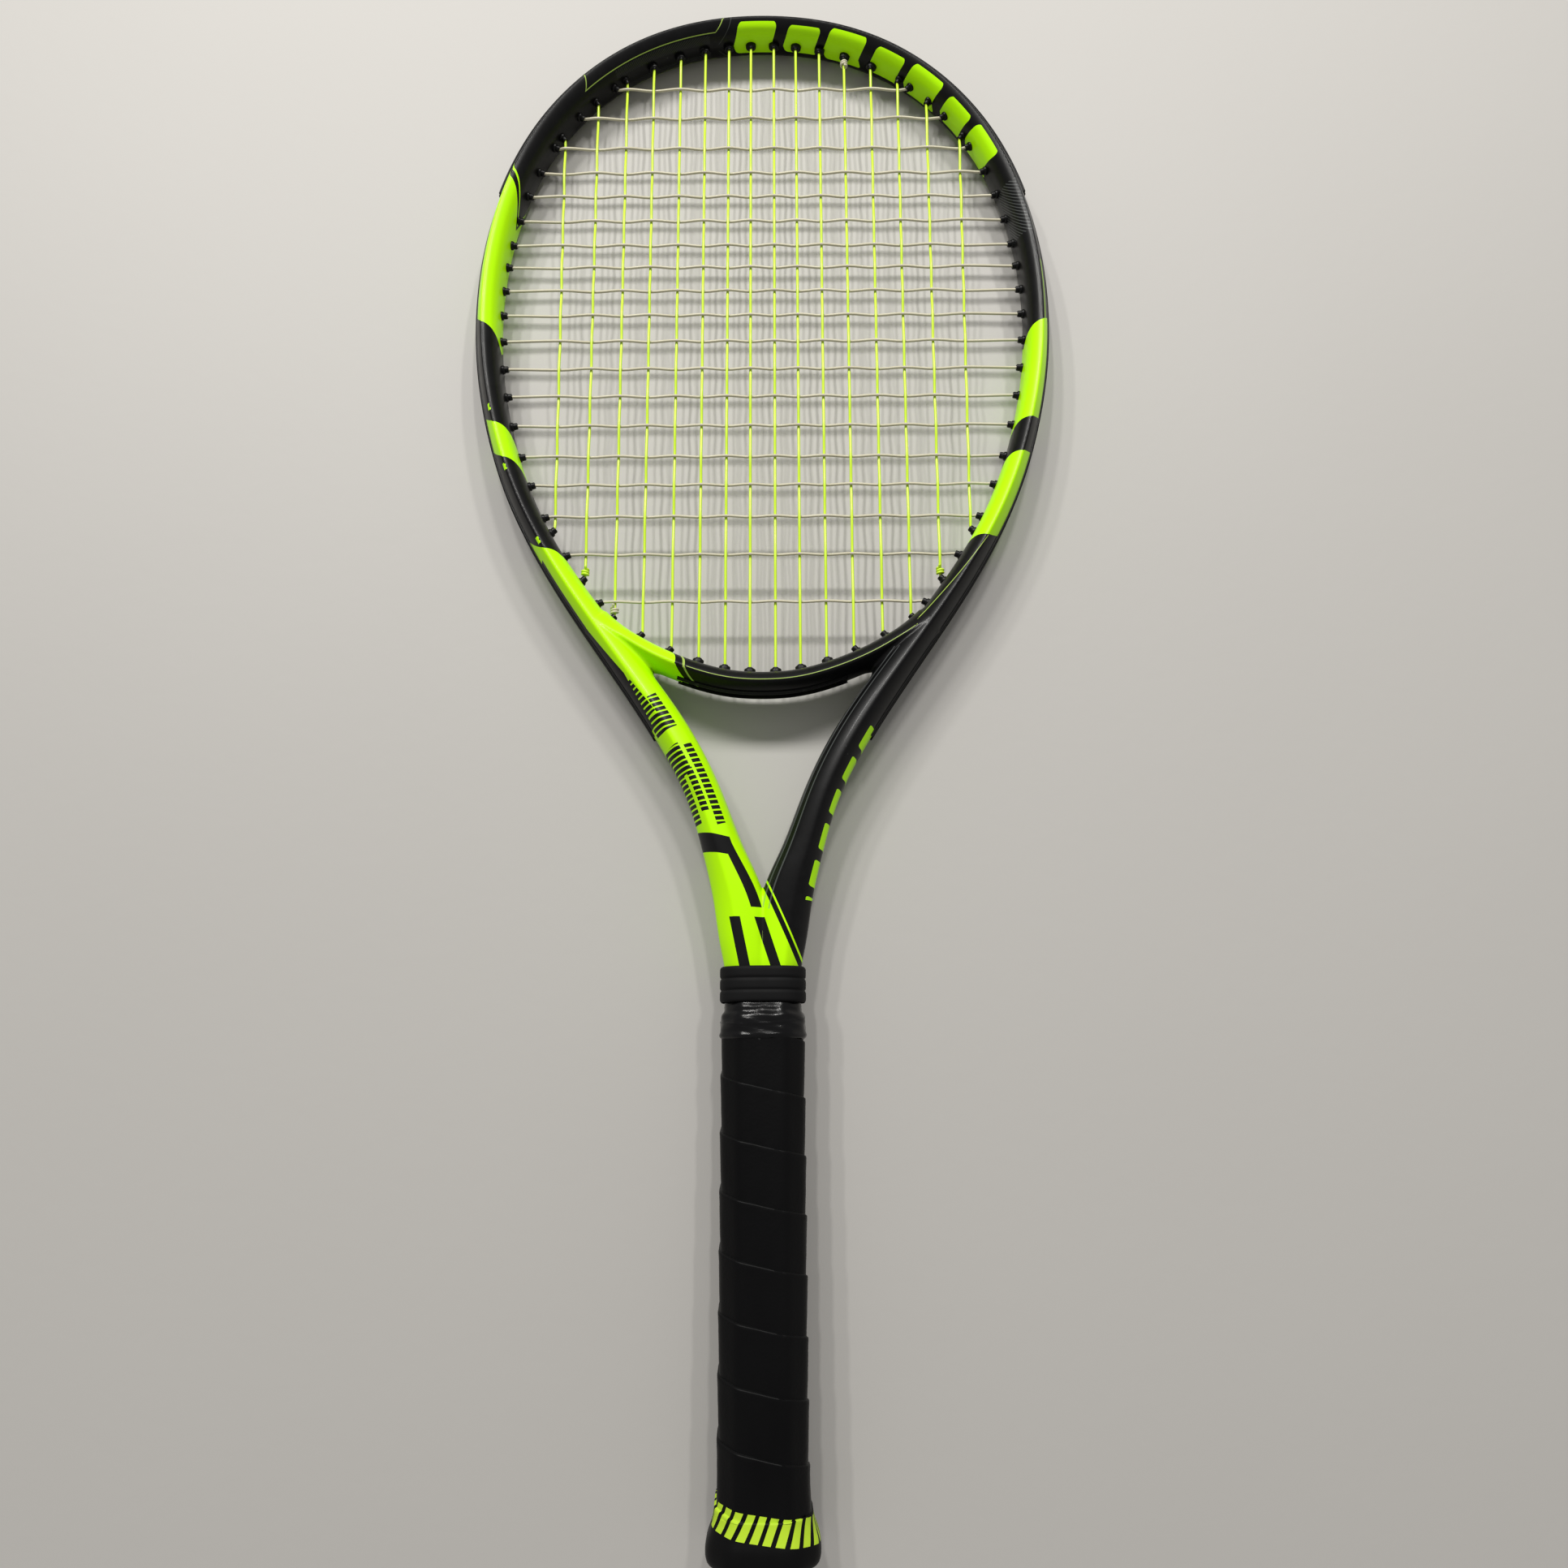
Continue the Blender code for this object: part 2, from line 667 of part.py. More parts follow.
def build_butt_cap(mat):
    """Flared plastic cap with a skirt over the pallets and an opening for the trapdoor."""
    item = octagon_solid("butt_cap", (
        (0.0, FLARE_HALF_W - 1.8, FLARE_HALF_H - 1.8),
        (1.8, FLARE_HALF_W - 0.3, FLARE_HALF_H - 0.3),
        (6.0, FLARE_HALF_W, FLARE_HALF_H),
        (9.5, FLARE_HALF_W - 0.8, FLARE_HALF_H - 0.9),
        (15.0, PALLET_HALF_W + 2.3, PALLET_HALF_H + 2.3),
        (16.5, PALLET_HALF_W + 1.3, PALLET_HALF_H + 1.3),
        (CAP_TOP, PALLET_HALF_W + 1.3, PALLET_HALF_H + 1.3),
    ), mat)
    boolean(item, octagon_solid("cutter", (
        (PALLET_BOTTOM - GAP, PALLET_HALF_W + GAP, PALLET_HALF_H + GAP),
        (CAP_TOP + 5.0, PALLET_HALF_W + GAP, PALLET_HALF_H + GAP),
    ), mat), "DIFFERENCE")
    boolean(item, octagon_solid("cutter", (
        (-5.0, DOOR_HALF_W + GAP, DOOR_HALF_H + GAP),
        (PALLET_BOTTOM + 2.0, DOOR_HALF_W + GAP, DOOR_HALF_H + GAP),
    ), mat), "DIFFERENCE")
    boolean(item, octagon_solid("cutter", (
        (-5.0, DOOR_HALF_W + 2.6, DOOR_HALF_H + 2.6),
        (2.6, DOOR_HALF_W + 2.6, DOOR_HALF_H + 2.6),
    ), mat), "DIFFERENCE")
    for side in (-1, 1):
        for level in (-1, 1):
            boolean(item, staple("cutter", side, level, GAP, mat), "DIFFERENCE")
    shade(item, 32)
    return item


def build_trapdoor(mat):
    """Push-in door of the butt cap: a plate in the recess and a hollow plug behind it."""
    item = octagon_solid("butt_cap_trapdoor", (
        (0.2, DOOR_HALF_W + 1.8, DOOR_HALF_H + 1.8),
        (0.8, DOOR_HALF_W + 2.3, DOOR_HALF_H + 2.3),
        (2.3, DOOR_HALF_W + 2.3, DOOR_HALF_H + 2.3),
        (2.31, DOOR_HALF_W, DOOR_HALF_H),
        (9.5, DOOR_HALF_W, DOOR_HALF_H),
        (10.5, DOOR_HALF_W - 0.8, DOOR_HALF_H - 0.8),
    ), mat)
    boolean(item, octagon_solid("cutter", (
        (2.0, DOOR_HALF_W - 1.6, DOOR_HALF_H - 1.6),
        (14.0, DOOR_HALF_W - 1.6, DOOR_HALF_H - 1.6),
    ), mat), "DIFFERENCE")
    shade(item, 25)
    centre_origin(item, to_world(0, 0, 0))
    return item


def sleeve(name, outer, inner, mat):
    """Octagonal tube from outer and inner stations."""
    item = octagon_solid(name, outer, mat)
    boolean(item, octagon_solid("cutter", inner, mat), "DIFFERENCE")
    return item


def build_grip(mat):
    """Base grip over the pallets, swelling over the butt cap's skirt towards the flare."""
    w, h = PALLET_HALF_W + GAP, PALLET_HALF_H + GAP
    item = sleeve("base_grip", (
        (16.9, w + 2.9, h + 2.9),
        (24.0, w + 2.7, h + 2.7),
        (36.0, w + GRIP_T + 0.3, h + GRIP_T + 0.3),
        (GRIP_TOP, w + GRIP_T, h + GRIP_T),
    ), (
        (10.0, w + 1.3, h + 1.3),
        (GRIP_BOTTOM, w + 1.3, h + 1.3),
        (GRIP_BOTTOM + 0.6, w, h),
        (GRIP_TOP + 5.0, w, h),
    ), mat)
    shade(item, 20)
    return item


def build_tape(mat):
    """Finishing tape round the top of the handle, just below the collar."""
    w, h = PALLET_HALF_W + GAP, PALLET_HALF_H + GAP
    item = sleeve("finishing_tape", (
        (GRIP_TOP + GAP, w + 1.2, h + 1.2),
        (TAPE_TOP - 4.0, w + 1.2, h + 1.2),
        (TAPE_TOP - 1.0, w + 0.7, h + 0.7),
        (TAPE_TOP, w + 0.5, h + 0.5),
    ), (
        (GRIP_TOP - 4.0, w, h),
        (TAPE_TOP + 4.0, w, h),
    ), mat)
    shade(item, 20)
    return item


def collar_ring(half_w, half_h, y, count=16, power=2.8):
    """Rounded collar section."""
    ring = []
    for k in range(count):
        angle = 2 * math.pi * (k + 0.5) / count
        c, s = math.cos(angle), math.sin(angle)
        x = half_w * math.copysign(abs(c) ** (2 / power), c)
        z = half_h * math.copysign(abs(s) ** (2 / power), s)
        ring.append(to_world(x, y, z))
    return ring


def build_collar(mat):
    """Ribbed rubber collar that slides a little way up the shaft."""
    w, h = 17.6, 14.0
    stations = []
    ribs = 3
    height = (COLLAR_TOP - COLLAR_BOTTOM) / ribs
    for rib in range(ribs):
        y = COLLAR_BOTTOM + rib * height
        stations += [(y, w - 0.5, h - 0.5), (y + 0.6, w, h), (y + height - 0.6, w, h)]
    stations.append((COLLAR_TOP, w - 0.5, h - 0.5))
    item = loft("grip_collar", [collar_ring(sw, sh, y) for y, sw, sh in stations], mat)
    hollow = [(COLLAR_BOTTOM - 5.0, 16.7, 13.0), (COLLAR_TOP + 5.0, 16.7, 13.0)]
    cutter = loft("cutter", [collar_ring(sw, sh, y, power=3.4) for y, sw, sh in hollow], mat)
    boolean(item, cutter, "DIFFERENCE")
    shade(item, 40)
    centre_origin(item, to_world(0, COLLAR_BOTTOM, 0))
    return item


def build():
    """Build every piece of the racket."""
    clear_scene()
    lacquer = material("frame_lacquer", (0.16, 0.42, 0.01), 0.3, 0.6)
    bridge_lacquer = material("bridge_lacquer", (0.03, 0.03, 0.032), 0.35, 0.5)
    nylon = material("black_nylon", (0.02, 0.02, 0.02), 0.35)
    lime = material("lime_string", (0.42, 0.62, 0.06), 0.35)
    clear = material("natural_string", (0.68, 0.64, 0.52), 0.3)
    foam = material("pallet_foam", (0.55, 0.5, 0.38), 0.8)
    plastic = material("cap_plastic", (0.03, 0.03, 0.03), 0.45)
    steel = material("staple_steel", (0.6, 0.6, 0.6), 0.3)
    wrap = material("grip_wrap", (0.02, 0.02, 0.02), 0.55)
    tape = material("tape_film", (0.015, 0.015, 0.015), 0.2)
    rubber = material("collar_rubber", (0.025, 0.025, 0.025), 0.8)

    beam = Curve(BEAM, outward=1.0)
    bridge = Curve(BRIDGE, outward=-1.0)
    tops, bottoms = main_holes(beam, bridge)
    sides = cross_holes(beam)
    right = tops + bottoms + sides
    every = right + [mirrored(hole) for hole in right]

    build_frame(beam, every, lacquer)
    build_bridge(beam, bridge, [hole for hole in every if hole["mouth"][1] < 370.0], bridge_lacquer)

    bumper_end = beam.find(lambda s: beam.at(s)[1] - BUMPER_END_Y, 0.0, 300.0)
    strip_end = beam.find(lambda s: beam.at(s)[1] - STRIP_END_Y, 300.0, 560.0)
    on_beam = [hole for hole in every if hole["curve"] is beam]
    head = [hole for hole in on_beam if abs(hole["s"]) < bumper_end]
    build_strip("head_bumper_guard", beam, -bumper_end, bumper_end, bumper_profile(), head, nylon)
    for name, side in (("left_grommet_strip", -1), ("right_grommet_strip", 1)):
        own = [hole for hole in on_beam if hole["s"] * side > bumper_end]
        build_strip(name, beam, side * (bumper_end + GAP), side * strip_end, strip_profile(), own, nylon)
    yoke = [hole for hole in every if hole["curve"] is bridge]
    build_strip("throat_grommet_strip", bridge, -36.0, 36.0, strip_profile(), yoke, nylon)

    build_main_string(tops, bottoms, lime)
    build_cross_string(sides, tops, bottoms, clear)

    build_pallets(beam, foam)
    build_butt_cap(plastic)
    build_trapdoor(plastic)
    for number, (side, level) in enumerate(((-1, 1), (1, 1), (-1, -1), (1, -1)), start=1):
        shade(staple("butt_staple_%d" % number, side, level, 0.0, steel))
    build_grip(wrap)
    build_tape(tape)
    build_collar(rubber)


build()
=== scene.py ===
import math

import bmesh
import bpy
import numpy as np
from mathutils import Matrix


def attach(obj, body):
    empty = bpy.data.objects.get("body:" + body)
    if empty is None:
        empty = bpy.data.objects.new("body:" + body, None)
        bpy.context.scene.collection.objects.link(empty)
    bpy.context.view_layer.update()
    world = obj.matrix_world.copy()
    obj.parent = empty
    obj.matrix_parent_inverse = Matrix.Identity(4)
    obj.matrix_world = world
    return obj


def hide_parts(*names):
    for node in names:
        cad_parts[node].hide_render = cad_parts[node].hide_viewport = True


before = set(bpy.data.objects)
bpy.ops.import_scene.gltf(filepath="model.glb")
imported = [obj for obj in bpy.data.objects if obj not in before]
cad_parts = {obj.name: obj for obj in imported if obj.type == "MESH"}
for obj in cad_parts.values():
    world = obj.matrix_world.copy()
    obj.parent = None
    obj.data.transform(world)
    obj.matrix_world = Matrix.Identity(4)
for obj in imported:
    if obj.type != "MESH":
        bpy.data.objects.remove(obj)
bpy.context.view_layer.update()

# All lengths are millimetres: x from the racket's axis, y from the butt end, z from the string plane.
MM = 0.001
LENGTH = 685.8
STRING_PLANE = 18.5

# ---- tube centrelines: x, y, half width, half height, from the head tip or the bridge's middle ----
WIDEST_Y = 525.8
BEAM = (
    (0.0, 679.4, 5.2, 10.8), (30.0, 676.2, 5.2, 10.9), (58.1, 665.6, 5.2, 11.1),
    (82.3, 647.7, 5.2, 11.4), (101.6, 624.0, 5.2, 11.7), (115.8, 595.0, 5.2, 12.0),
    (124.6, 561.9, 5.2, 12.2), (127.9, WIDEST_Y, 5.2, 12.3), (126.2, 493.7, 5.2, 12.4),
    (120.0, 460.6, 5.2, 12.5), (109.4, 427.8, 5.2, 12.6), (94.4, 397.8, 5.3, 12.7),
    (76.4, 370.2, 5.9, 12.7), (56.2, 342.0, 6.8, 12.6), (38.3, 315.2, 7.5, 12.4),
    (25.0, 289.0, 7.6, 12.1), (15.7, 262.1, 8.8, 11.8), (9.8, 243.5, 10.6, 11.6),
    (7.2, 226.0, 10.4, 11.4), (6.2, 217.6, 9.8, 11.2), (5.6, 205.6, 9.5, 10.8),
    (4.6, 194.6, 8.8, 10.1), (4.5, 184.6, 8.7, 10.0), (4.5, 120.0, 8.7, 10.0), (4.5, 14.0, 8.7, 10.0),
)
BRIDGE = (
    (0.0, 338.2, 4.8, 10.0), (15.0, 339.3, 4.8, 10.1), (31.0, 343.6, 4.8, 10.3), (47.0, 350.4, 4.8, 10.5),
    (60.0, 358.0, 4.7, 10.7), (70.0, 364.6, 4.6, 10.8),
)
SECTION = (
    (-1.00, 0.25), (-0.90, 0.52), (-0.55, 0.80), (0.00, 0.97),
    (0.28, 1.00), (0.62, 0.80), (0.90, 0.52), (1.00, 0.36),
)
CREST = 0.28
GROOVE_HALF = 3.0
GROOVE_DEPTH = 2.2
SHELL_END = 203.6
VOXEL = 0.9
EDGE_ROUND = 0.3
JUNCTION_BLEND = (5.5, 2.0)
JUNCTION_HEIGHTS = (4.0, 10.0)
CROTCH_BLEND = 1.4
CROTCH_X, CROTCH_Y = 16.0, 300.0
YOKE_X, YOKE_LOW, YOKE_HIGH = 95.0, 318.0, 400.0
ARM_START = 300.0

# ---- strings and holes ----
MAIN_HALF = (5.7, 16.6, 28.3, 40.6, 53.8, 66.9, 80.9, 96.5)
MAIN_FOOT = (5.6, 16.5, 28.0, 40.0, 52.8, 65.4, 79.0, 93.4)
BRIDGE_MAINS = 3
BRIDGE_REACH = 66.0
CROSS_TOP_Y = 647.4
CROSS_GAPS = (16.9, 17.4, 14.0, 13.3, 13.7, 13.5, 12.0, 12.8, 13.1,
              13.8, 14.5, 14.3, 15.0, 15.6, 14.2, 15.6, 18.5, 22.5)
STRING_R = 0.65
MAIN_WAVE = 0.7
CROSS_WAVE = 0.66
LANE = 1.6
STRING_OUT = 0.25
LOOP_OUT = -0.75
LOOP_TURN = 2.2
LOOSE_END = 9.0
KNOT_R = 1.32
BARREL_REACH = 2.3
MAIN_KNOT = 6
CROSS_KNOTS = (5, 3)
PADDED_X = 60.0
THROAT_STRIP_HALF = 36.0
HOLE_SKEW = 0.35
BUMPER_END_Y = 581.5
STRIP_END_Y = 318.0

# ---- handle ----
GRIP_PITCH = 21.9
GRIP_EDGE_Y = 31.95
GRIP_BOTTOM = 16.9
GRIP_TOP = 188.4
TAPE_TOP = 201.1
TAPE_EDGE_Y = 195.2
COLLAR_BOTTOM = 201.8
COLLAR_TOP = 216.0
COLLAR_BORE = (16.6, 12.9)
COLLAR_MOUTH = (16.75, 13.1)
WRAP_STEP = 0.75
GRIP_YS = (0.0, 16.0, 19.0, 24.0, 30.0, 40.0, 60.0, 188.0)
GRIP_HALF_W = (18.9, 18.6, 18.25, 17.8, 17.55, 17.45, 17.4, 17.0)
GRIP_HALF_H = (16.8, 16.5, 16.2, 15.9, 15.7, 15.6, 15.5, 15.2)

# ---- floor, light and camera; the lamps are in metres ----
LAMP_POWER = 11.3
LAMP_XS = (-1.0, -0.66, -0.32, 0.3, 0.7)
LAMP_Y, LAMP_HEIGHT = 1.35, 1.5
LAMP_SIZE = (0.07, 0.3)
LAMP_COLOUR = (1.0, 0.985, 0.95)
SURROUND = 0.38
BUTT_REST_Y, HEAD_REST_Y, HEAD_UNDERSIDE = 5.0, 679.0, -10.85
FLOOR_X, FLOOR_YS = 2500, (-2600, 3200)
CAMERA_AT = (8.45, 177.7, 488.12)
CAMERA_TILT = 13.364
CAMERA_TURN = 0.0048
CAMERA_LENS = 27.02


# ---------------------------------------------------------------- geometry helpers

ORIGIN = np.array([0.0, LENGTH / 2, -STRING_PLANE])


def to_world(points):
    """Racket millimetres to row-frame metres."""
    return (np.asarray(points, float) - ORIGIN) * MM


def unit(vectors):
    """Vectors scaled to a length of one along the last axis."""
    vectors = np.asarray(vectors, float)
    return vectors / np.maximum(np.linalg.norm(vectors, axis=-1, keepdims=True), 1e-9)


def ring_angles(count):
    """Even angles round a full turn."""
    return 2 * np.pi * np.arange(count) / count


def linked(name, data):
    """Object in the scene that holds the given data."""
    item = bpy.data.objects.new(name, data)
    bpy.context.collection.objects.link(item)
    return item


def aim(item, place, side, up, back):
    """Stand a lamp or the camera at a place, with its three axes given."""
    turn = Matrix((side, up, back)).transposed().to_4x4()
    item.matrix_world = Matrix.Translation(place) @ turn


def dressed(item, mat, body, nodes=()):
    """Give an object its material and body, and hide the CAD nodes it stands for."""
    item.data.materials.clear()
    item.data.materials.append(mat)
    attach(item, body)
    if nodes:
        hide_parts(*nodes)
    return item


def mesh_object(name, verts, faces, smooth=True):
    """Object from racket-millimetre vertices and faces."""
    mesh = bpy.data.meshes.new(name)
    mesh.from_pydata(to_world(verts).tolist(), [], faces)
    mesh.polygons.foreach_set("use_smooth", [smooth] * len(mesh.polygons))
    mesh.update()
    return linked(name, mesh)


class Soup:
    """Collects separate closed shapes for one object."""

    def __init__(self):
        self.verts = []
        self.faces = []
        self.count = 0

    def add(self, verts, faces):
        """Append one shape."""
        self.verts.append(np.asarray(verts, float))
        self.faces += [tuple(i + self.count for i in face) for face in faces]
        self.count += len(verts)

    def rings(self, rings, caps=True):
        """Skin equal rings given as an array of rows, ring points and coordinates."""
        rings = np.asarray(rings, float)
        rows, size = rings.shape[:2]
        faces = []
        for i in range(rows - 1):
            for k in range(size):
                m = (k + 1) % size
                faces.append((i * size + k, i * size + m, (i + 1) * size + m, (i + 1) * size + k))
        if caps:
            faces.append(tuple(range(size))[::-1])
            faces.append(tuple((rows - 1) * size + k for k in range(size)))
        self.add(rings.reshape(-1, 3), faces)
        return self

    def object(self, name, sharp=None):
        """Make the object, with edges above an angle kept sharp."""
        item = mesh_object(name, np.vstack(self.verts), self.faces)
        if sharp is not None:
            item.data.set_sharp_from_angle(angle=math.radians(sharp))
        return item


class Curve:
    """Natural cubic spline through mirrored planar stations with a half width and half height."""

    def __init__(self, stations, outward, groove_end):
        self.groove_end = groove_end
        stations = np.array(stations, float)
        mirror = stations[:0:-1] * np.array([-1, 1, 1, 1])
        self.points = np.vstack([mirror, stations])
        gaps = np.linalg.norm(np.diff(self.points[:, :2], axis=0), axis=1)
        self.knots = np.concatenate([[0.0], np.cumsum(gaps)])
        self.knots -= self.knots[len(stations) - 1]
        self.second = self.solve_second()
        self.outward = outward
        self.end = self.knots[-1]

    def solve_second(self):
        """Second derivatives of the natural spline at the knots."""
        h = np.diff(self.knots)
        count = len(self.knots)
        matrix = np.eye(count)
        right = np.zeros((count, self.points.shape[1]))
        for i in range(1, count - 1):
            matrix[i, i - 1:i + 2] = (h[i - 1], 2 * (h[i - 1] + h[i]), h[i])
            rise = (self.points[i + 1] - self.points[i]) / h[i]
            run = (self.points[i] - self.points[i - 1]) / h[i - 1]
            right[i] = 6 * (rise - run)
        return np.linalg.solve(matrix, right)

    def at(self, s):
        """Station values x, y, half width, half height at arc positions s."""
        s = np.asarray(s, float)
        i = np.clip(np.searchsorted(self.knots, s) - 1, 0, len(self.knots) - 2)
        h = (self.knots[i + 1] - self.knots[i])[..., None]
        a = (self.knots[i + 1] - s)[..., None] / h
        b = 1.0 - a
        bend = (a ** 3 - a) * self.second[i] + (b ** 3 - b) * self.second[i + 1]
        return a * self.points[i] + b * self.points[i + 1] + bend * h * h / 6

    def frame(self, s):
        """Centres, tangents, outward normals, half widths and half heights at s."""
        value = self.at(s)
        tangent = unit(self.at(np.asarray(s) + 0.05)[..., :2] - self.at(np.asarray(s) - 0.05)[..., :2])
        normal = np.stack([-tangent[..., 1], tangent[..., 0]], -1) * self.outward
        return value[..., :2], tangent, normal, value[..., 2], value[..., 3]

    def offset(self, s, distance):
        """Point at a sideways distance from the centreline."""
        centre, _, normal, _, _ = self.frame(s)
        return centre + normal * distance

    def nose(self, s, distance):
        """Point at a distance outside the tube's outer nose."""
        centre, _, normal, half_w, _ = self.frame(s)
        return centre + normal * (half_w + distance)

    def find(self, test, low, high):
        """Arc position where test changes sign between low and high."""
        start = test(low)
        for _ in range(26):
            middle = (low + high) / 2
            if (test(middle) > 0) == (start > 0):
                low = middle
            else:
                high = middle
        return (low + high) / 2

    def at_height(self, y, low, high):
        """Arc position between low and high where the centreline passes height y."""
        return self.find(lambda s: self.at(s)[1] - y, low, high)

    def has_groove(self, s):
        """Whether the string groove runs along the nose at s."""
        return np.abs(s) < self.groove_end

    def search(self, points, low):
        """Coarse arc positions nearest to the given planar points, from low to the curve's end."""
        coarse = np.arange(low, self.end, 2.0)
        samples = self.at(coarse)[:, :2]
        best = np.empty(len(points))
        for start in range(0, len(points), 8192):
            part = points[start:start + 8192]
            apart = (part[:, :1] - samples[:, 0]) ** 2 + (part[:, 1:2] - samples[:, 1]) ** 2
            best[start:start + 8192] = coarse[apart.argmin(1)]
        return best

    def nearest(self, points, near):
        """Exact arc positions nearest to planar points, from coarse ones."""
        for _ in range(3):
            centre = self.at(near)[:, :2]
            slope = (self.at(near + 0.05)[:, :2] - self.at(near - 0.05)[:, :2]) / 0.1
            near = near + ((points - centre) * slope).sum(1) / (slope ** 2).sum(1)
            near = np.clip(near, -self.end, self.end)
        return near


beam = Curve(BEAM, outward=1.0, groove_end=430.0)
bridge = Curve(BRIDGE, outward=-1.0, groove_end=35.0)


# ---------------------------------------------------------------- frame shell

def smooth_min(a, b, reach):
    """Minimum of two fields with a fillet where they meet."""
    h = np.clip(reach - np.abs(a - b), 0.0, None) / reach
    return np.minimum(a, b) - h * h * reach / 4


def section_distance(n, z, half_w, half_h):
    """Signed distance from the lacquered tube's section, its facets meeting in small radii."""
    z = np.abs(z)
    corners = [(u * half_w, w * half_h) for u, w in SECTION]
    sides = [-n - half_w, n - half_w]
    for (n0, z0), (n1, z1) in zip(corners, corners[1:]):
        dn, dz = n1 - n0, z1 - z0
        size = np.hypot(dn, dz)
        sides.append(((n - n0) * -dz + (z - z0) * dn) / size)
    stack = np.stack(sides)
    top = stack.max(0)
    return top + EDGE_ROUND * np.log(np.exp((stack - top) / EDGE_ROUND).sum(0))


def tube_fields(curve, points, near):
    """Distance from one tube, with the arc position, sideways share and half height at every point."""
    s = curve.nearest(points[:, :2], near)
    centre, tangent, normal, half_w, half_h = curve.frame(s)
    apart = points[:, :2] - centre
    n = (apart * normal).sum(1)
    past = np.abs((apart * tangent).sum(1))
    distance = section_distance(n, points[:, 2], half_w, half_h)
    groove = np.minimum(GROOVE_HALF - np.abs(points[:, 2]), n - half_w + GROOVE_DEPTH)
    grooved = np.where(curve.has_groove(s), groove, -9.0)
    distance = np.maximum(distance, grooved)
    return np.maximum(distance, past - 0.5), s, n / half_w, half_h


class Shell:
    """The lacquered tubes as one blended solid, sampled near a fixed set of points."""

    def __init__(self, points):
        right = self.folded(points)
        self.near = beam.search(right[:, :2], -8.0)
        self.inner = (right[:, 0] < CROTCH_X) & (right[:, 1] < CROTCH_Y)
        self.inner_near = beam.search(right[self.inner, :2] * np.array([-1.0, 1.0]), ARM_START)
        self.yoke = (right[:, 1] > YOKE_LOW) & (right[:, 1] < YOKE_HIGH) & (right[:, 0] < YOKE_X)
        self.yoke_near = bridge.search(points[self.yoke, :2], -bridge.end)

    def folded(self, points):
        """The points moved to the right half."""
        right = points.copy()
        right[:, 0] = np.abs(right[:, 0])
        return right

    def hairpin(self, points):
        """Distance from the hairpin and its section coordinates."""
        right = self.folded(points)
        distance, s, v, half_h = tube_fields(beam, right, self.near)
        other = right[self.inner] * np.array([-1.0, 1.0, 1.0])
        across = tube_fields(beam, other, self.inner_near)[0]
        distance[self.inner] = smooth_min(distance[self.inner], across, CROTCH_BLEND)
        return distance, s, v, half_h

    def bridge(self, points):
        """Distance from the throat bridge and its section coordinates."""
        fields = [np.full(len(points), value) for value in (99.0, 0.0, 0.0, 10.0)]
        for field, value in zip(fields, tube_fields(bridge, points[self.yoke], self.yoke_near)):
            field[self.yoke] = value
        return fields

    def distance(self, points):
        """Signed distance from the whole shell."""
        reach = np.interp(np.abs(points[:, 2]), JUNCTION_HEIGHTS, JUNCTION_BLEND)
        both = smooth_min(self.hairpin(points)[0], self.bridge(points)[0], reach)
        return np.maximum(both, SHELL_END - points[:, 1])

    def gradient(self, points, step=0.05):
        """Gradient of the shell's distance."""
        slope = np.empty_like(points)
        for axis in range(3):
            shift = np.zeros(3)
            shift[axis] = step
            slope[:, axis] = (self.distance(points + shift) - self.distance(points - shift)) / (2 * step)
        return slope


def rough_shell():
    """Coarse closed sweeps of the hairpin and the bridge."""
    soup = Soup()
    last = beam.at_height(SHELL_END, 500.0, beam.end)
    for curve, stop in ((beam, last), (bridge, bridge.end)):
        rings = []
        for s in np.linspace(-stop, stop, int(stop / 1.5)):
            centre, _, normal, half_w, half_h = curve.frame(s)
            upper = [(u * half_w, w * half_h) for u, w in SECTION]
            loop = upper + [(n, -z) for n, z in reversed(upper)]
            rings.append([(*(centre + normal * n), z) for n, z in loop])
        soup.rings(rings)
    return soup.object("shell")


def shell_mesh():
    """Even mesh over the blended shell: vertices, faces and normals."""
    rough = rough_shell()
    step = rough.modifiers.new("even", "REMESH")
    step.mode = "VOXEL"
    step.voxel_size = VOXEL * MM
    graph = bpy.context.evaluated_depsgraph_get()
    mesh = rough.evaluated_get(graph).to_mesh()
    verts = np.empty(len(mesh.vertices) * 3, np.float32)
    mesh.vertices.foreach_get("co", verts)
    verts = verts.reshape(-1, 3).astype(float) / MM + ORIGIN
    faces = [tuple(face.vertices) for face in mesh.polygons]
    bpy.data.objects.remove(rough, do_unlink=True)
    shell = Shell(verts)
    for _ in range(3):
        slope = shell.gradient(verts)
        size = np.maximum((slope ** 2).sum(1), 0.25)
        move = slope * (shell.distance(verts) / size)[:, None]
        length = np.linalg.norm(move, axis=1, keepdims=True)
        verts -= move * np.minimum(1.0, 1.2 / np.maximum(length, 1e-6))
    verts[:, 1] = np.maximum(verts[:, 1], SHELL_END)
    return shell, verts, faces, unit(shell.gradient(verts, 0.12))


def girth(v, z, half_h):
    """Signed distance in height from the crest, positive on the outer side."""
    drop = half_h - np.abs(z)
    return np.where(v > CREST, drop, -drop)


def set_attribute(mesh, name, values):
    """Store one number for each vertex."""
    data = mesh.attributes.new(name, "FLOAT", "POINT")
    data.data.foreach_set("value", np.asarray(values, np.float32))


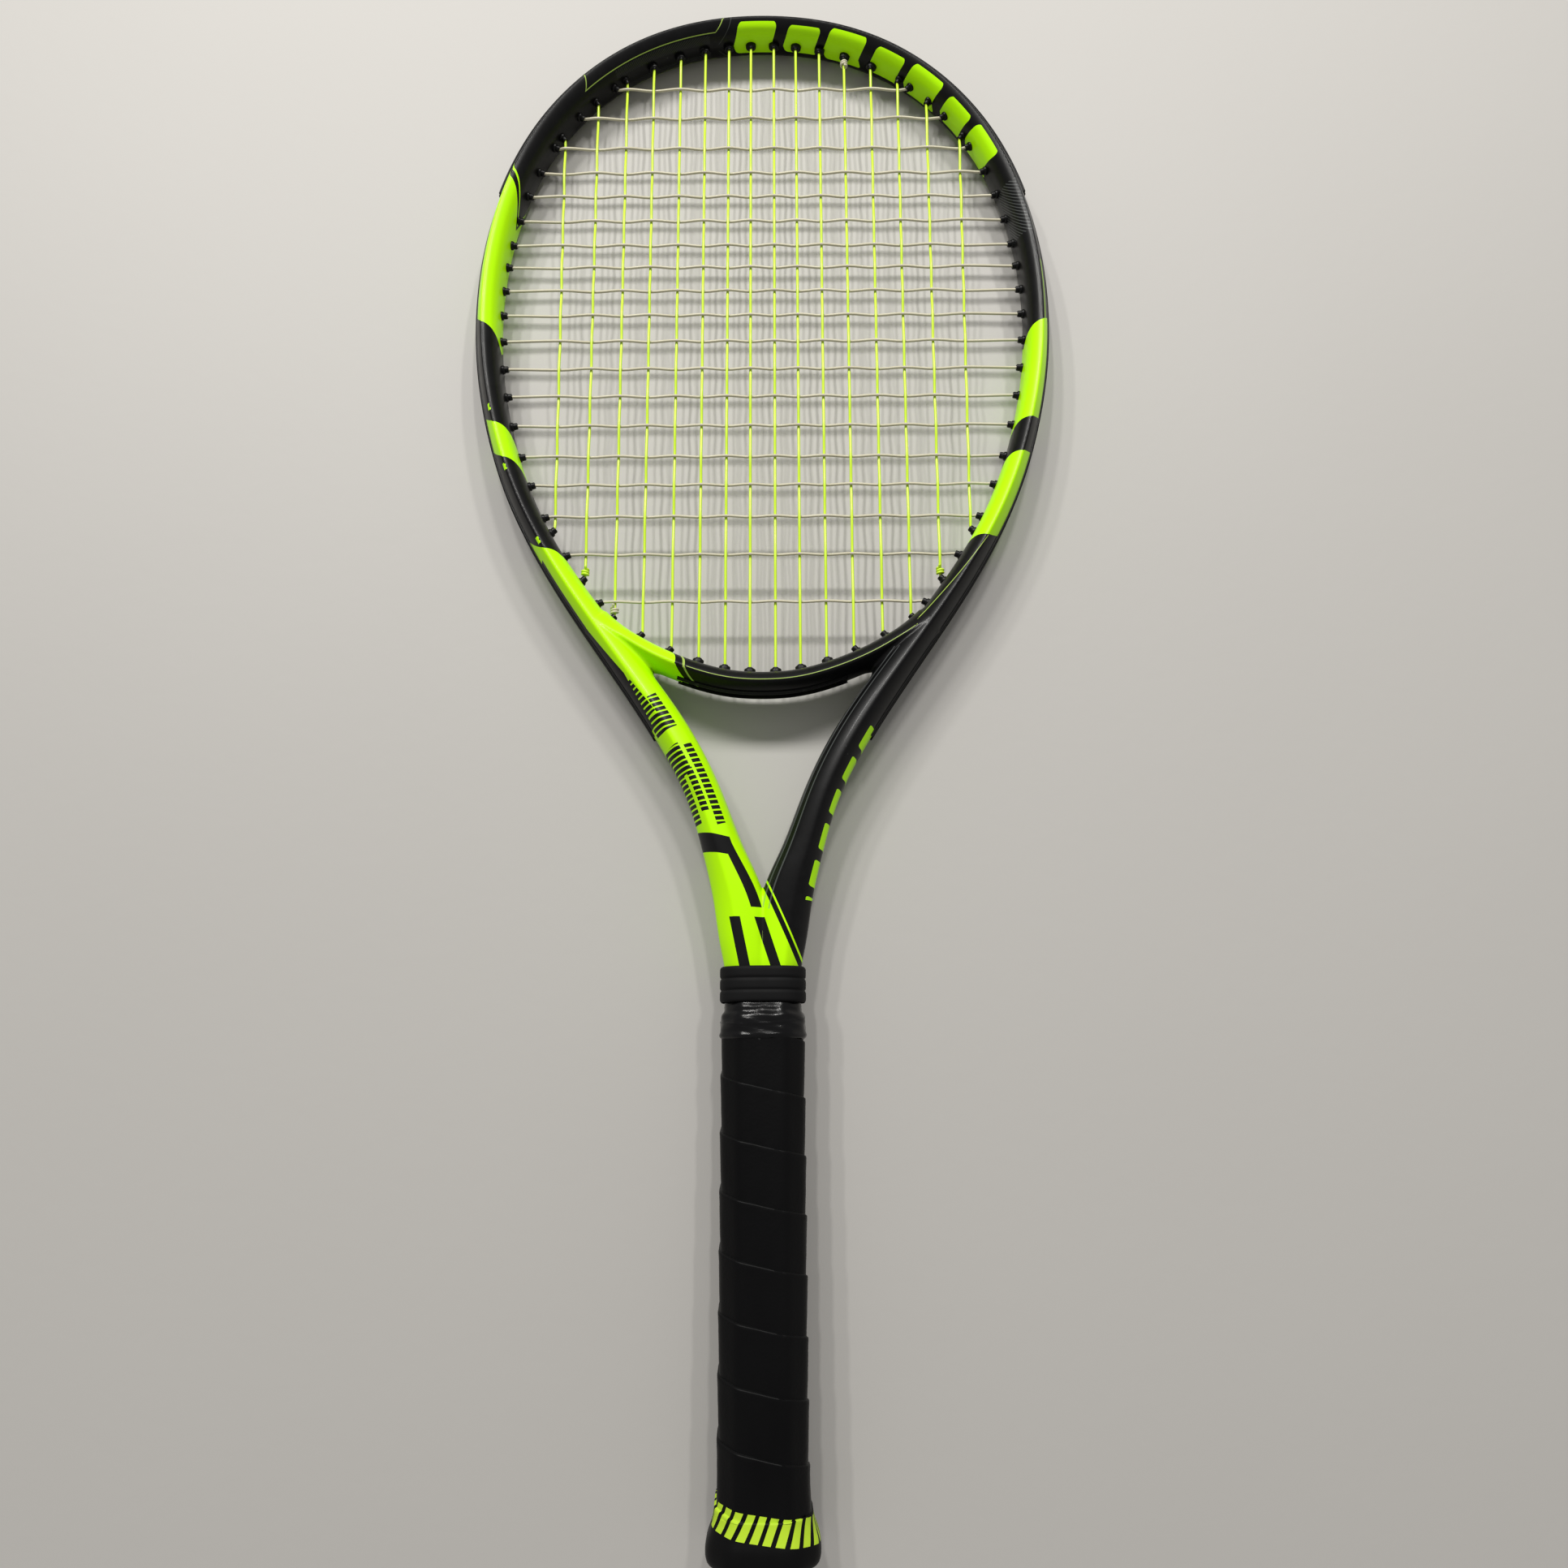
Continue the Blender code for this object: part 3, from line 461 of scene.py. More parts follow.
def build_shell(frame_mat, bridge_mat):
    """Lacquered hairpin and throat bridge as two pieces that share one continuous surface."""
    shell, verts, faces, normals = shell_mesh()
    gap, s, v, half_h = shell.hairpin(verts)
    yoke_gap, sb, vb, hb = shell.bridge(verts)
    signed = s * np.where(verts[:, 0] < 0, -1.0, 1.0)
    on_bridge = yoke_gap < gap
    corner = np.array([face[0] for face in faces])
    for name, node, mat, slot, keep, along, across, height in (
        ("frame_shell", "frame", frame_mat, "frame_lacquer", ~on_bridge, signed, v, half_h),
        ("bridge_shell", "throat_bridge", bridge_mat, "bridge_lacquer", on_bridge, sb, vb, hb),
    ):
        chosen = np.array([face for face, inside in zip(faces, keep[corner]) if inside])
        used = np.unique(chosen)
        place = np.full(len(verts), -1)
        place[used] = np.arange(len(used))
        item = mesh_object(name, verts[used], place[chosen].tolist())
        item.data.normals_split_custom_set_from_vertices(normals[used].tolist())
        set_attribute(item.data, "along", along[used])
        set_attribute(item.data, "across", across[used])
        set_attribute(item.data, "around", girth(across, verts[:, 2], height)[used])
        dressed(item, mat, "racket", (node,))


# ---------------------------------------------------------------- string holes

def hole_for(curve, mouth, travel, near):
    """Mouth, direction and outer exit of one string hole."""
    s = near
    for _ in range(6):
        _, _, normal, _, _ = curve.frame(s)
        direction = unit(normal + HOLE_SKEW * np.array(travel, float))

        def side(t):
            apart = mouth - curve.nose(t, STRING_OUT)
            return direction[0] * apart[1] - direction[1] * apart[0]

        s = curve.find(side, s - 30.0, s + 30.0)
    return {"mouth": mouth, "dir": direction, "exit": curve.nose(s, STRING_OUT), "s": s, "curve": curve}


def inner_point(curve, s):
    """Point on the inner side of the tube where a string enters its barrel."""
    return curve.offset(s, -(curve.at(s)[2] + BARREL_REACH))


def main_holes():
    """Holes of the right half mains at the head and at the throat."""
    tops, bottoms = [], []
    widest = beam.at_height(WIDEST_Y, 0.0, 350.0)
    for index, (x, foot) in enumerate(zip(MAIN_HALF, MAIN_FOOT)):
        s = beam.find(lambda t: inner_point(beam, t)[0] - x, 0.0, widest)
        tops.append(hole_for(beam, inner_point(beam, s), (0, 1), s))
        wall = bridge if foot < BRIDGE_REACH else beam
        low, high = (0.0, bridge.end) if wall is bridge else (widest, widest + 170.0)
        s = wall.find(lambda t: inner_point(wall, t)[0] - foot, low, high)
        mouth = inner_point(wall, s)
        if index < BRIDGE_MAINS:
            bottoms.append(hole_for(bridge, mouth, (0, -1), s))
        else:
            guess = beam.at_height(mouth[1] - 12.0, widest, beam.end)
            bottoms.append(hole_for(beam, mouth, (0, -1), guess))
    return tops, bottoms


def cross_ys():
    """Heights of the cross strings from the head down."""
    return [CROSS_TOP_Y - sum(CROSS_GAPS[:i]) for i in range(len(CROSS_GAPS) + 1)]


def cross_holes():
    """Right-hand holes of the cross strings."""
    holes = []
    low = beam.at_height(660.0, 0.0, 150.0)
    high = beam.at_height(360.0, 300.0, 460.0)
    for y in cross_ys():
        s = beam.find(lambda t: inner_point(beam, t)[1] - y, low, high)
        holes.append(hole_for(beam, inner_point(beam, s), (1, 0), s))
    return holes


def mirrored(hole):
    """The same hole on the left half."""
    flip = np.array([-1.0, 1.0])
    return {**hole, "mouth": hole["mouth"] * flip, "dir": hole["dir"] * flip,
            "exit": hole["exit"] * flip, "s": -hole["s"]}


# ---------------------------------------------------------------- strings

def soften(points, rounds=3):
    """Round off a polyline's corners and keep its ends."""
    points = np.asarray(points, float)
    for _ in range(rounds):
        near = points[:-1] * 0.75 + points[1:] * 0.25
        far = points[:-1] * 0.25 + points[1:] * 0.75
        middle = np.stack([near, far], 1).reshape(-1, 3)
        points = np.vstack([points[:1], middle[1:-1], points[-1:]])
    return points


def tube_rings(points, radius, sides=8):
    """Rings of a round tube along a dense path that never runs straight up."""
    points = np.asarray(points, float)
    tangent = unit(np.gradient(points, axis=0))
    side = unit(np.cross(tangent, np.array([0.0, 0.0, 1.0])))
    up = np.cross(side, tangent)
    angle = ring_angles(sides)
    spokes = side[:, None] * np.cos(angle)[None, :, None] + up[:, None] * np.sin(angle)[None, :, None]
    return points[:, None] + spokes * radius


def wavy(nodes, step=1.6):
    """Dense path through nodes, its height easing from one crossing to the next."""
    path = []
    for a, b in zip(nodes[:-1], nodes[1:]):
        a, b = np.array(a, float), np.array(b, float)
        count = max(3, int(np.linalg.norm(b - a) / step))
        for i in range(count):
            t = i / count
            point = a + (b - a) * t
            point[2] = a[2] + (b[2] - a[2]) * (1 - math.cos(math.pi * t)) / 2
            path.append(point)
    path.append(np.array(nodes[-1], float))
    return path


def leaving(hole, lane):
    """First points of a string on its way out of a hole, drifting towards its lane."""
    deep = hole["exit"] - hole["dir"] * 2.4
    shallow = hole["exit"] - hole["dir"] * 1.1
    return [(*deep, 0.0), (*shallow, lane * 0.15)]


def outside_run(first, second, lane):
    """Path from one hole's barrel along the outer channel into the next hole's barrel."""
    curve = first["curve"]
    direction = 1.0 if second["s"] > first["s"] else -1.0
    points = leaving(first, lane)
    for s in np.linspace(first["s"] + direction * LOOP_TURN, second["s"] - direction * LOOP_TURN, 6):
        points.append((*curve.nose(s, LOOP_OUT), lane))
    points += leaving(second, lane)[::-1]
    return list(soften(points))


def loose_end(hole, lane, direction):
    """Short tail of string along the outer channel past its last hole."""
    curve = hole["curve"]
    points = leaving(hole, lane)
    for part in (0.3, 0.65, 1.0):
        points.append((*curve.nose(hole["s"] + direction * LOOSE_END * part, LOOP_OUT), lane))
    return list(soften(points))


def crossings(y, tops, bottoms):
    """Right half mains met at height y, as (index, x)."""
    found = []
    for k, (top, bottom) in enumerate(zip(tops, bottoms)):
        (x_top, y_top), (x_foot, y_foot) = top["mouth"], bottom["mouth"]
        if y_foot + 1.0 < y < y_top - 1.0:
            found.append((k, x_foot + (x_top - x_foot) * (y - y_foot) / (y_top - y_foot)))
    return found


def main_run(k, tops, bottoms):
    """One right half main from its foot to its head, pushed up and down by the crosses."""
    rows = []
    for row, y in enumerate(cross_ys()):
        for index, x in crossings(y, tops, bottoms):
            if index == k:
                rows.append((x, y, -MAIN_WAVE * (-1) ** (row + k)))
    nodes = [(*bottoms[k]["mouth"], 0.0), *rows[::-1], (*tops[k]["mouth"], 0.0)]
    return wavy(nodes)


def half_hitch(anchor, along, side, turns=2.2):
    """Tight turns round a string with a short cut tail, as a path."""
    along = np.array([*along, 0.0])
    side = np.array([*side, 0.0])
    up = np.array([0.0, 0.0, 1.0])
    path = []
    for t in np.linspace(0.0, turns, 34):
        angle = 2 * np.pi * t
        spoke = side * math.cos(angle) + up * math.sin(angle) * 0.97
        path.append(np.array([*anchor, 0.0]) + along * (t * 1.2) + spoke * KNOT_R)
    end = path[-1]
    tail = unit(end - path[-2]) * 0.6 + side * 0.5 + along * 0.3
    for part in (0.5, 1.2, 2.0, 2.8):
        path.append(end + tail * part)
    return path


def add_knot(soup, hole, far, side):
    """Tie a half hitch just inside a hole, on the string that runs to the far hole."""
    along = unit(far["mouth"] - hole["mouth"])
    path = half_hitch(hole["mouth"] + along * 1.6, along, (side, 0.0))
    soup.rings(tube_rings(path, STRING_R * 0.95))


def build_main_string(tops, bottoms, mat):
    """Lime main string: both halves, the loops outside the tube and its two knots."""
    soup = Soup()
    last = len(MAIN_HALF) - 1
    right = []
    weave = []
    for k in range(last + 1):
        run = main_run(k, tops, bottoms)
        ends = tops
        if k % 2 == 1:
            run = run[::-1]
            ends = bottoms
        outer = outside_run(ends[k], ends[k + 1], LANE) if k < last else loose_end(ends[k], LANE, 1.0)
        right += run + outer
        weave += [-1.0] * len(run) + [1.0] * len(outer)
    right = np.array(right)
    left = right * np.array([-1.0, 1.0, 1.0])
    left[:, 2] *= weave
    centre = np.array(outside_run(mirrored(bottoms[0]), bottoms[0], LANE))
    soup.rings(tube_rings(np.vstack([left[::-1], centre, right]), STRING_R))
    foot, head = bottoms[MAIN_KNOT], tops[MAIN_KNOT]
    add_knot(soup, foot, head, -1.0)
    add_knot(soup, mirrored(foot), mirrored(head), 1.0)
    item = soup.object("main_string_woven")
    return dressed(item, mat, "racket", ("main_string",))


def build_cross_string(holes, tops, bottoms, mat):
    """Clear cross string woven through the mains, with its loops and its two knots."""
    path = loose_end(holes[0], -LANE, -1.0)[::-1]
    for row, hole in enumerate(holes):
        y = hole["mouth"][1]
        right = [(x, y, CROSS_WAVE * (-1) ** (row + k)) for k, x in crossings(y, tops, bottoms)]
        left = [(-x, y, -z) for x, _, z in right]
        nodes = [(*mirrored(hole)["mouth"], 0.0), *left[::-1], *right, (*hole["mouth"], 0.0)]
        run = wavy(nodes, 1.5)
        leftward = row % 2 == 0
        path += run[::-1] if leftward else run
        if row + 1 < len(holes):
            pair = (hole, holes[row + 1])
            if leftward:
                pair = (mirrored(pair[0]), mirrored(pair[1]))
            path += outside_run(pair[0], pair[1], -LANE)
    path += loose_end(mirrored(holes[-1]), -LANE, -1.0)
    soup = Soup()
    soup.rings(tube_rings(path, STRING_R))
    low, high = CROSS_KNOTS
    add_knot(soup, mirrored(bottoms[low]), mirrored(tops[low]), -1.0)
    add_knot(soup, tops[high], bottoms[high], 1.0)
    item = soup.object("cross_string_woven")
    return dressed(item, mat, "racket", ("cross_string",))


# ---------------------------------------------------------------- grommets

def turned(soup, origin, axis, profile, sides=18, wide=1.0, high=1.0):
    """Turn a profile of distance and radius about a planar axis, optionally widened or flattened."""
    axis = np.array([*axis, 0.0])
    side = np.array([-axis[1], axis[0], 0.0])
    up = np.array([0.0, 0.0, 1.0])
    angle = ring_angles(sides)
    rings = []
    for t, r in profile:
        spokes = side[None] * (np.cos(angle) * wide)[:, None] + up[None] * (np.sin(angle) * high)[:, None]
        rings.append(np.array([*origin, 0.0]) + axis * t + spokes * r)
    soup.rings(rings)


def barrel(soup, hole, padded):
    """Hollow barrel round a string where it leaves the inner wall, with a flattened pad on some."""
    reach = np.linalg.norm(hole["exit"] - hole["mouth"])
    tip = -0.45
    turned(soup, hole["mouth"], hole["dir"], (
        (tip + 1.1, 0.7), (tip + 0.15, 0.78), (tip, 0.95), (tip, 1.18), (tip + 0.12, 1.38), (tip + 0.45, 1.5),
        (tip + 1.4, 1.52), (reach - 2.0, 1.6),
    ))
    if padded:
        turned(soup, hole["mouth"], hole["dir"], (
            (0.1, 1.1), (0.12, 1.62), (0.4, 1.9), (0.8, 1.98), (2.6, 2.05), (reach * 0.5, 1.9),
        ), sides=22, wide=1.28, high=0.95)
    else:
        turned(soup, hole["mouth"], hole["dir"], (
            (1.35, 1.3), (1.38, 1.72), (1.6, 1.95), (2.3, 2.05), (3.2, 2.0),
        ))


def strip_rings(curve, start, end, profile, step=3.0):
    """Rings of a strip along the outer nose."""
    rings = []
    count = int(abs(end - start) / step) + 2
    for s in np.linspace(start, end, count):
        centre, _, normal, half_w, _ = curve.frame(s)
        rings.append([(*(centre + normal * (half_w + n)), z) for n, z in profile])
    return rings


def closed_profile(upper):
    """Full profile from its upper half."""
    return list(upper) + [(n, -z) for n, z in reversed(upper)]


STRIP = closed_profile((
    (-2.3, 2.8), (-0.6, 4.1), (0.15, 4.15), (0.32, 3.95), (0.38, 3.5), (0.7, 3.35), (0.88, 3.1),
    (0.88, 2.75), (0.7, 2.5), (-1.3, 2.4), (-1.5, 2.2),
))
BUMPER = closed_profile((
    (-2.3, 2.8), (-0.9, 6.5), (-0.15, 6.95), (0.3, 6.85), (0.62, 6.4), (0.72, 5.7), (0.62, 5.1), (0.8, 4.7),
    (1.1, 4.4), (1.2, 3.9), (1.18, 3.2), (0.95, 2.7), (-1.3, 2.45), (-1.5, 2.2),
))


def build_strip(name, node, curve, start, end, profile, holes, pads, mat):
    """One grommet strip or bumper guard with its barrels."""
    soup = Soup()
    soup.rings(strip_rings(curve, start, end, profile))
    for hole in holes:
        barrel(soup, hole, abs(hole["mouth"][0]) < pads)
    item = soup.object(name, sharp=38)
    return dressed(item, mat, "racket", (node,))


# ---------------------------------------------------------------- handle

def octagon_radius(angle, half_w, half_h, chamfer=0.52, power=26.0):
    """Polar radius of the handle's octagon with softened edges."""
    diagonal = (half_w + half_h - chamfer * half_h) / math.sqrt(2)
    total = np.zeros_like(np.asarray(angle, float) + np.asarray(half_w, float))
    for turn, reach in enumerate((half_w, diagonal, half_h, diagonal) * 2):
        facing = np.maximum(np.cos(angle - turn * math.pi / 4), 0.0)
        total = total + (facing / reach) ** power
    return total ** (-1.0 / power)


def octagon_rings(stations, count=96, power=26.0):
    """Rings of softened octagons given as y, half width, half height."""
    angle = ring_angles(count)
    rings = []
    for y, half_w, half_h in stations:
        radius = octagon_radius(angle, half_w, half_h, power=power)
        rings.append(np.stack([radius * np.cos(angle), np.full(count, y), radius * np.sin(angle)], 1))
    return rings


def eased(stations, step=1.0):
    """Dense stations on a smooth curve through sparse ones."""
    stations = np.array(stations, float)
    ys = stations[:, 0]
    slopes = np.gradient(stations[:, 1:], ys, axis=0)
    dense = []
    for i in range(len(ys) - 1):
        h = ys[i + 1] - ys[i]
        count = max(2, int(h / step))
        for t in np.arange(count) / count:
            a = 2 * t ** 3 - 3 * t ** 2 + 1
            b = t ** 3 - 2 * t ** 2 + t
            c = 3 * t ** 2 - 2 * t ** 3
            d = t ** 3 - t ** 2
            value = a * stations[i, 1:] + b * h * slopes[i]
            value = value + c * stations[i + 1, 1:] + d * h * slopes[i + 1]
            dense.append((ys[i] + h * t, *value))
    dense.append(tuple(stations[-1]))
    return dense


def grip_size(y):
    """Half width and half height of the wrapped handle at y."""
    return np.interp(y, GRIP_YS, GRIP_HALF_W), np.interp(y, GRIP_YS, GRIP_HALF_H)


def build_grip(mat):
    """Spiral-wrapped grip: each turn's upper edge stands over the next turn."""
    phases = np.array([0.0, 0.012, 0.05, 0.12, 0.22, 0.34, 0.46, 0.58, 0.7, 0.8, 0.88, 0.94, 0.975, 0.992])
    lift = np.interp(phases, (0.0, 0.012, 0.3, 0.8, 0.94, 0.975, 0.992),
                     (-0.55, -1.0, -0.62, -0.22, -0.02, 0.0, -0.12)) * WRAP_STEP
    turns = np.arange(-2, 10)
    rows = (turns[:, None] + phases[None]).reshape(-1)
    lifts = np.tile(lift, len(turns))
    count = 128
    angle = 2 * np.pi * np.arange(count + 1) / count
    u = GRIP_EDGE_Y + rows * GRIP_PITCH
    y = np.clip(u[:, None] + GRIP_PITCH * angle[None] / (2 * np.pi), GRIP_BOTTOM, GRIP_TOP)
    half_w, half_h = grip_size(y)
    theta = np.broadcast_to(angle, y.shape)
    radius = octagon_radius(theta, half_w, half_h, power=20.0) + lifts[:, None]
    radius = radius + 0.05 * np.sin(theta * 9 + y * 0.31) * np.sin(y * 0.53)
    points = np.stack([radius * np.cos(theta), y, radius * np.sin(theta)], -1)
    keep = (y.max(1) > GRIP_BOTTOM) & (y.min(1) < GRIP_TOP)
    points = points[keep]
    faces = []
    for i in range(len(points) - 1):
        for k in range(count):
            a = i * (count + 1) + k
            faces.append((a, a + 1, a + count + 2, a + count + 1))
    item = mesh_object("grip_spiral", points.reshape(-1, 3), faces)
    weld(item, 0.02)
    item.data.set_sharp_from_angle(angle=math.radians(50))
    return dressed(item, mat, "racket", ("base_grip",))


def weld(item, distance):
    """Join coincident vertices and face everything outwards."""
    bm = bmesh.new()
    bm.from_mesh(item.data)
    bmesh.ops.remove_doubles(bm, verts=bm.verts, dist=distance * MM)
    bmesh.ops.dissolve_degenerate(bm, edges=bm.edges, dist=distance * MM * 0.1)
    bmesh.ops.recalc_face_normals(bm, faces=bm.faces)
    bm.to_mesh(item.data)
    bm.free()


def build_tape(mat):
    """Wrinkled finishing tape, stretched into a neck under the collar."""
    profile = eased((
        (GRIP_TOP - 1.2, 16.6, 14.8), (GRIP_TOP - 0.4, 17.35, 15.55), (GRIP_TOP + 2.0, 17.3, 15.5),
        (GRIP_TOP + 6.5, 17.0, 15.2), (GRIP_TOP + 8.6, 16.6, 14.8), (TAPE_TOP - 3.0, 15.9, 14.2),
        (TAPE_TOP - 1.0, 15.75, 13.6), (TAPE_TOP + 0.4, 15.65, 12.85), (TAPE_TOP + 1.6, 15.6, 12.7),
        (TAPE_TOP + 3.2, 15.3, 12.3),
    ), 0.4)
    count = 144
    rings = np.array(octagon_rings(profile, count, power=14.0))
    angle = ring_angles(count)
    y = rings[:, :, 1]
    waves = 0.13 * np.sin(angle * 5 + y * 0.9 + 1.4 * np.sin(angle * 2))
    waves = waves + 0.08 * np.sin(angle * 9 - y * 1.3 + 1.6 * np.sin(angle + y * 0.4))
    edge = np.abs((y - TAPE_EDGE_Y + 2.2 * np.cos(angle - 2.0)) / 0.35)
    waves = waves + 0.28 * np.clip(1.0 - edge, 0.0, 1.0)
    fade = np.clip((y - GRIP_TOP + 1.5) / 2.0, 0.0, 1.0) * np.clip((TAPE_TOP - y) / 2.0, 0.0, 1.0)
    scale = 1.0 + (waves * fade / 16.5)
    rings[:, :, 0] *= scale
    rings[:, :, 2] *= scale
    item = Soup().rings(rings).object("tape_wrinkled")
    return dressed(item, mat, "racket", ("finishing_tape",))


def collar_ring(y, half_w, half_h, count=96, power=2.9):
    """Rounded rectangle section of the rubber collar."""
    angle = ring_angles(count)
    c, s = np.cos(angle), np.sin(angle)
    x = half_w * np.sign(c) * np.abs(c) ** (2 / power)
    z = half_h * np.sign(s) * np.abs(s) ** (2 / power)
    return np.stack([x, np.full(count, y), z], 1)


def build_collar(mat):
    """Rubber collar with three rounded ribs and a hollow bore."""
    outer = []
    height = (COLLAR_TOP - COLLAR_BOTTOM) / 3
    for rib in range(3):
        base = COLLAR_BOTTOM + rib * height
        for t in np.linspace(0.0, 1.0, 13)[:-1]:
            swell = 1.0 - abs(2 * t - 1) ** 5
            outer.append((base + t * height, 16.95 + 0.62 * swell, 13.35 + 0.62 * swell))
    outer.append((COLLAR_TOP, 16.9, 13.3))
    bore = [(COLLAR_TOP, *COLLAR_MOUTH), (COLLAR_TOP - 0.6, *COLLAR_BORE)]
    bore += [(COLLAR_BOTTOM + 0.6, *COLLAR_BORE), (COLLAR_BOTTOM, *COLLAR_MOUTH)]
    rings = [collar_ring(*station) for station in (*outer, *bore, outer[0])]
    item = Soup().rings(rings, caps=False).object("collar_ribbed")
    weld(item, 0.001)
    return dressed(item, mat, "collar", ("grip_collar",))


def build_cap(mat):
    """Flared butt cap with a rounded rim, a recess for the trapdoor and a bore for its plug."""
    outer = eased((
        (0.25, 19.3, 16.5), (0.9, 20.3, 17.5), (2.4, 21.1, 18.3), (5.0, 21.4, 18.44), (8.0, 21.0, 18.2),
        (12.0, 19.6, 17.2), (15.0, 18.75, 16.6), (17.3, 18.45, 16.35),
    ), 0.6)
    rings = octagon_rings([(9.6, 8.6, 6.6), (2.75, 8.7, 6.7), (2.65, 8.8, 6.8), (2.65, 12.2, 10.2),
                           (0.45, 12.3, 10.3), (0.1, 12.7, 10.7), (0.0, 13.4, 11.4),
                           (0.0, 18.2, 15.4), (0.06, 18.9, 16.1), *outer], power=16.0)
    item = Soup().rings(rings).object("cap_flared")
    return dressed(item, mat, "racket", ("butt_cap",))


def build_trapdoor(mat):
    """Trapdoor plate with a bevelled rim, a sunken ring and a finger notch."""
    plate = [(9.0, 8.3, 6.3), (2.5, 8.4, 6.4), (2.45, 11.7, 9.7), (0.9, 11.75, 9.75), (0.45, 11.5, 9.5),
             (0.35, 11.1, 9.1), (0.35, 9.6, 7.6), (0.75, 9.2, 7.2), (0.75, 8.3, 6.3), (0.35, 7.9, 5.9),
             (0.3, 3.2, 2.4), (0.65, 2.9, 2.1), (0.7, 0.4, 0.3)]
    soup = Soup()
    soup.rings(octagon_rings(plate, power=18.0))
    for x in (-10.3, 10.3):
        rings = []
        for y, grow in ((0.9, 0.0), (0.3, 0.0), (0.12, -0.25)):
            rings.append(collar_ring(y, 0.75 + grow, 2.6 + grow, count=24) + np.array([x, 0.0, 0.0]))
        soup.rings(rings)
    item = soup.object("trapdoor_plate", sharp=40)
    return dressed(item, mat, "trapdoor", ("butt_cap_trapdoor",))


# ---------------------------------------------------------------- materials

class Field:
    """A number in a shader; arithmetic on it adds Math nodes."""

    def __init__(self, tree, socket):
        self.tree = tree
        self.socket = socket

    def math(self, operation, *others):
        """Result of one Math node."""
        node = self.tree.nodes.new("ShaderNodeMath")
        node.operation = operation
        for socket, value in zip(node.inputs, (self, *others)):
            if isinstance(value, Field):
                self.tree.links.new(value.socket, socket)
            else:
                socket.default_value = value
        return Field(self.tree, node.outputs[0])

    def __add__(self, other):
        return self.math("ADD", other)

    def __sub__(self, other):
        return self.math("SUBTRACT", other)

    def __rsub__(self, other):
        return self * -1.0 + other

    def __mul__(self, other):
        return self.math("MULTIPLY", other)

    def __truediv__(self, other):
        return self.math("DIVIDE", other)

    def __or__(self, other):
        return self.math("MAXIMUM", other)

    def __and__(self, other):
        return self.math("MULTIPLY", other)

    def over(self, limit):
        """One where the field is above the limit."""
        return self.math("GREATER_THAN", limit)

    def under(self, limit):
        """One where the field is below the limit."""
        return self.math("LESS_THAN", limit)

    def size(self):
        """Absolute value."""
        return self.math("ABSOLUTE")

    def within(self, low, high):
        """One between two limits."""
        return self.over(low) & self.under(high)

    def without(self, other):
        """This mask where the other is zero."""
        return self & (other * -1.0 + 1.0)


class Material:
    """A Principled material under construction."""

    def __init__(self, name, roughness, **sockets):
        self.mat = bpy.data.materials.new(name)
        self.mat.use_nodes = True
        self.tree = self.mat.node_tree
        self.shader = self.tree.nodes["Principled BSDF"]
        self.shader.inputs["Roughness"].default_value = roughness
        for key, value in sockets.items():
            self.shader.inputs[key.replace("_", " ").title().replace("Ior", "IOR")].default_value = value
        self.place = self.tree.nodes.new("ShaderNodeTexCoord").outputs["Object"]

    def axes(self):
        """Position in racket millimetres as x, y and z fields."""
        split = self.tree.nodes.new("ShaderNodeSeparateXYZ")
        self.tree.links.new(self.place, split.inputs[0])
        x, y, z = (Field(self.tree, socket) for socket in split.outputs)
        return x / MM, y / MM + LENGTH / 2, z / MM - STRING_PLANE

    def surface(self):
        """Places along, around and across the tube, stored on the shell's vertices."""
        fields = []
        for name in ("along", "around", "across"):
            node = self.tree.nodes.new("ShaderNodeAttribute")
            node.attribute_name = name
            fields.append(Field(self.tree, node.outputs["Fac"]))
        return fields

    def noise(self, scale, detail=3.0, stretch=None):
        """Noise field, with scale in features per metre."""
        node = self.tree.nodes.new("ShaderNodeTexNoise")
        node.inputs["Scale"].default_value = scale
        node.inputs["Detail"].default_value = detail
        place = self.place
        if stretch is not None:
            mapping = self.tree.nodes.new("ShaderNodeMapping")
            mapping.inputs["Scale"].default_value = stretch
            self.tree.links.new(self.place, mapping.inputs["Vector"])
            place = mapping.outputs[0]
        self.tree.links.new(place, node.inputs["Vector"])
        return Field(self.tree, node.outputs["Fac"])

    def mix(self, mask, below, above):
        """Colour socket that goes from below to above with the mask."""
        node = self.tree.nodes.new("ShaderNodeMix")
        node.data_type = "RGBA"
        self.tree.links.new(mask.socket, node.inputs["Factor"])
        for key, colour in (("A", below), ("B", above)):
            socket = [item for item in node.inputs if item.name == key and item.type == "RGBA"][0]
            if isinstance(colour, tuple):
                socket.default_value = (*colour, 1.0)
            else:
                self.tree.links.new(colour, socket)
        return [item for item in node.outputs if item.type == "RGBA"][0]

    def colour(self, socket):
        """Use a colour as the base colour."""
        self.tree.links.new(socket, self.shader.inputs["Base Color"])

    def roughness(self, field):
        """Drive the roughness."""
        self.tree.links.new(field.socket, self.shader.inputs["Roughness"])

    def bump(self, field, depth):
        """Bump with a depth in metres."""
        node = self.tree.nodes.new("ShaderNodeBump")
        node.inputs["Strength"].default_value = 1.0
        node.inputs["Distance"].default_value = depth
        self.tree.links.new(field.socket, node.inputs["Height"])
        self.tree.links.new(node.outputs[0], self.shader.inputs["Normal"])


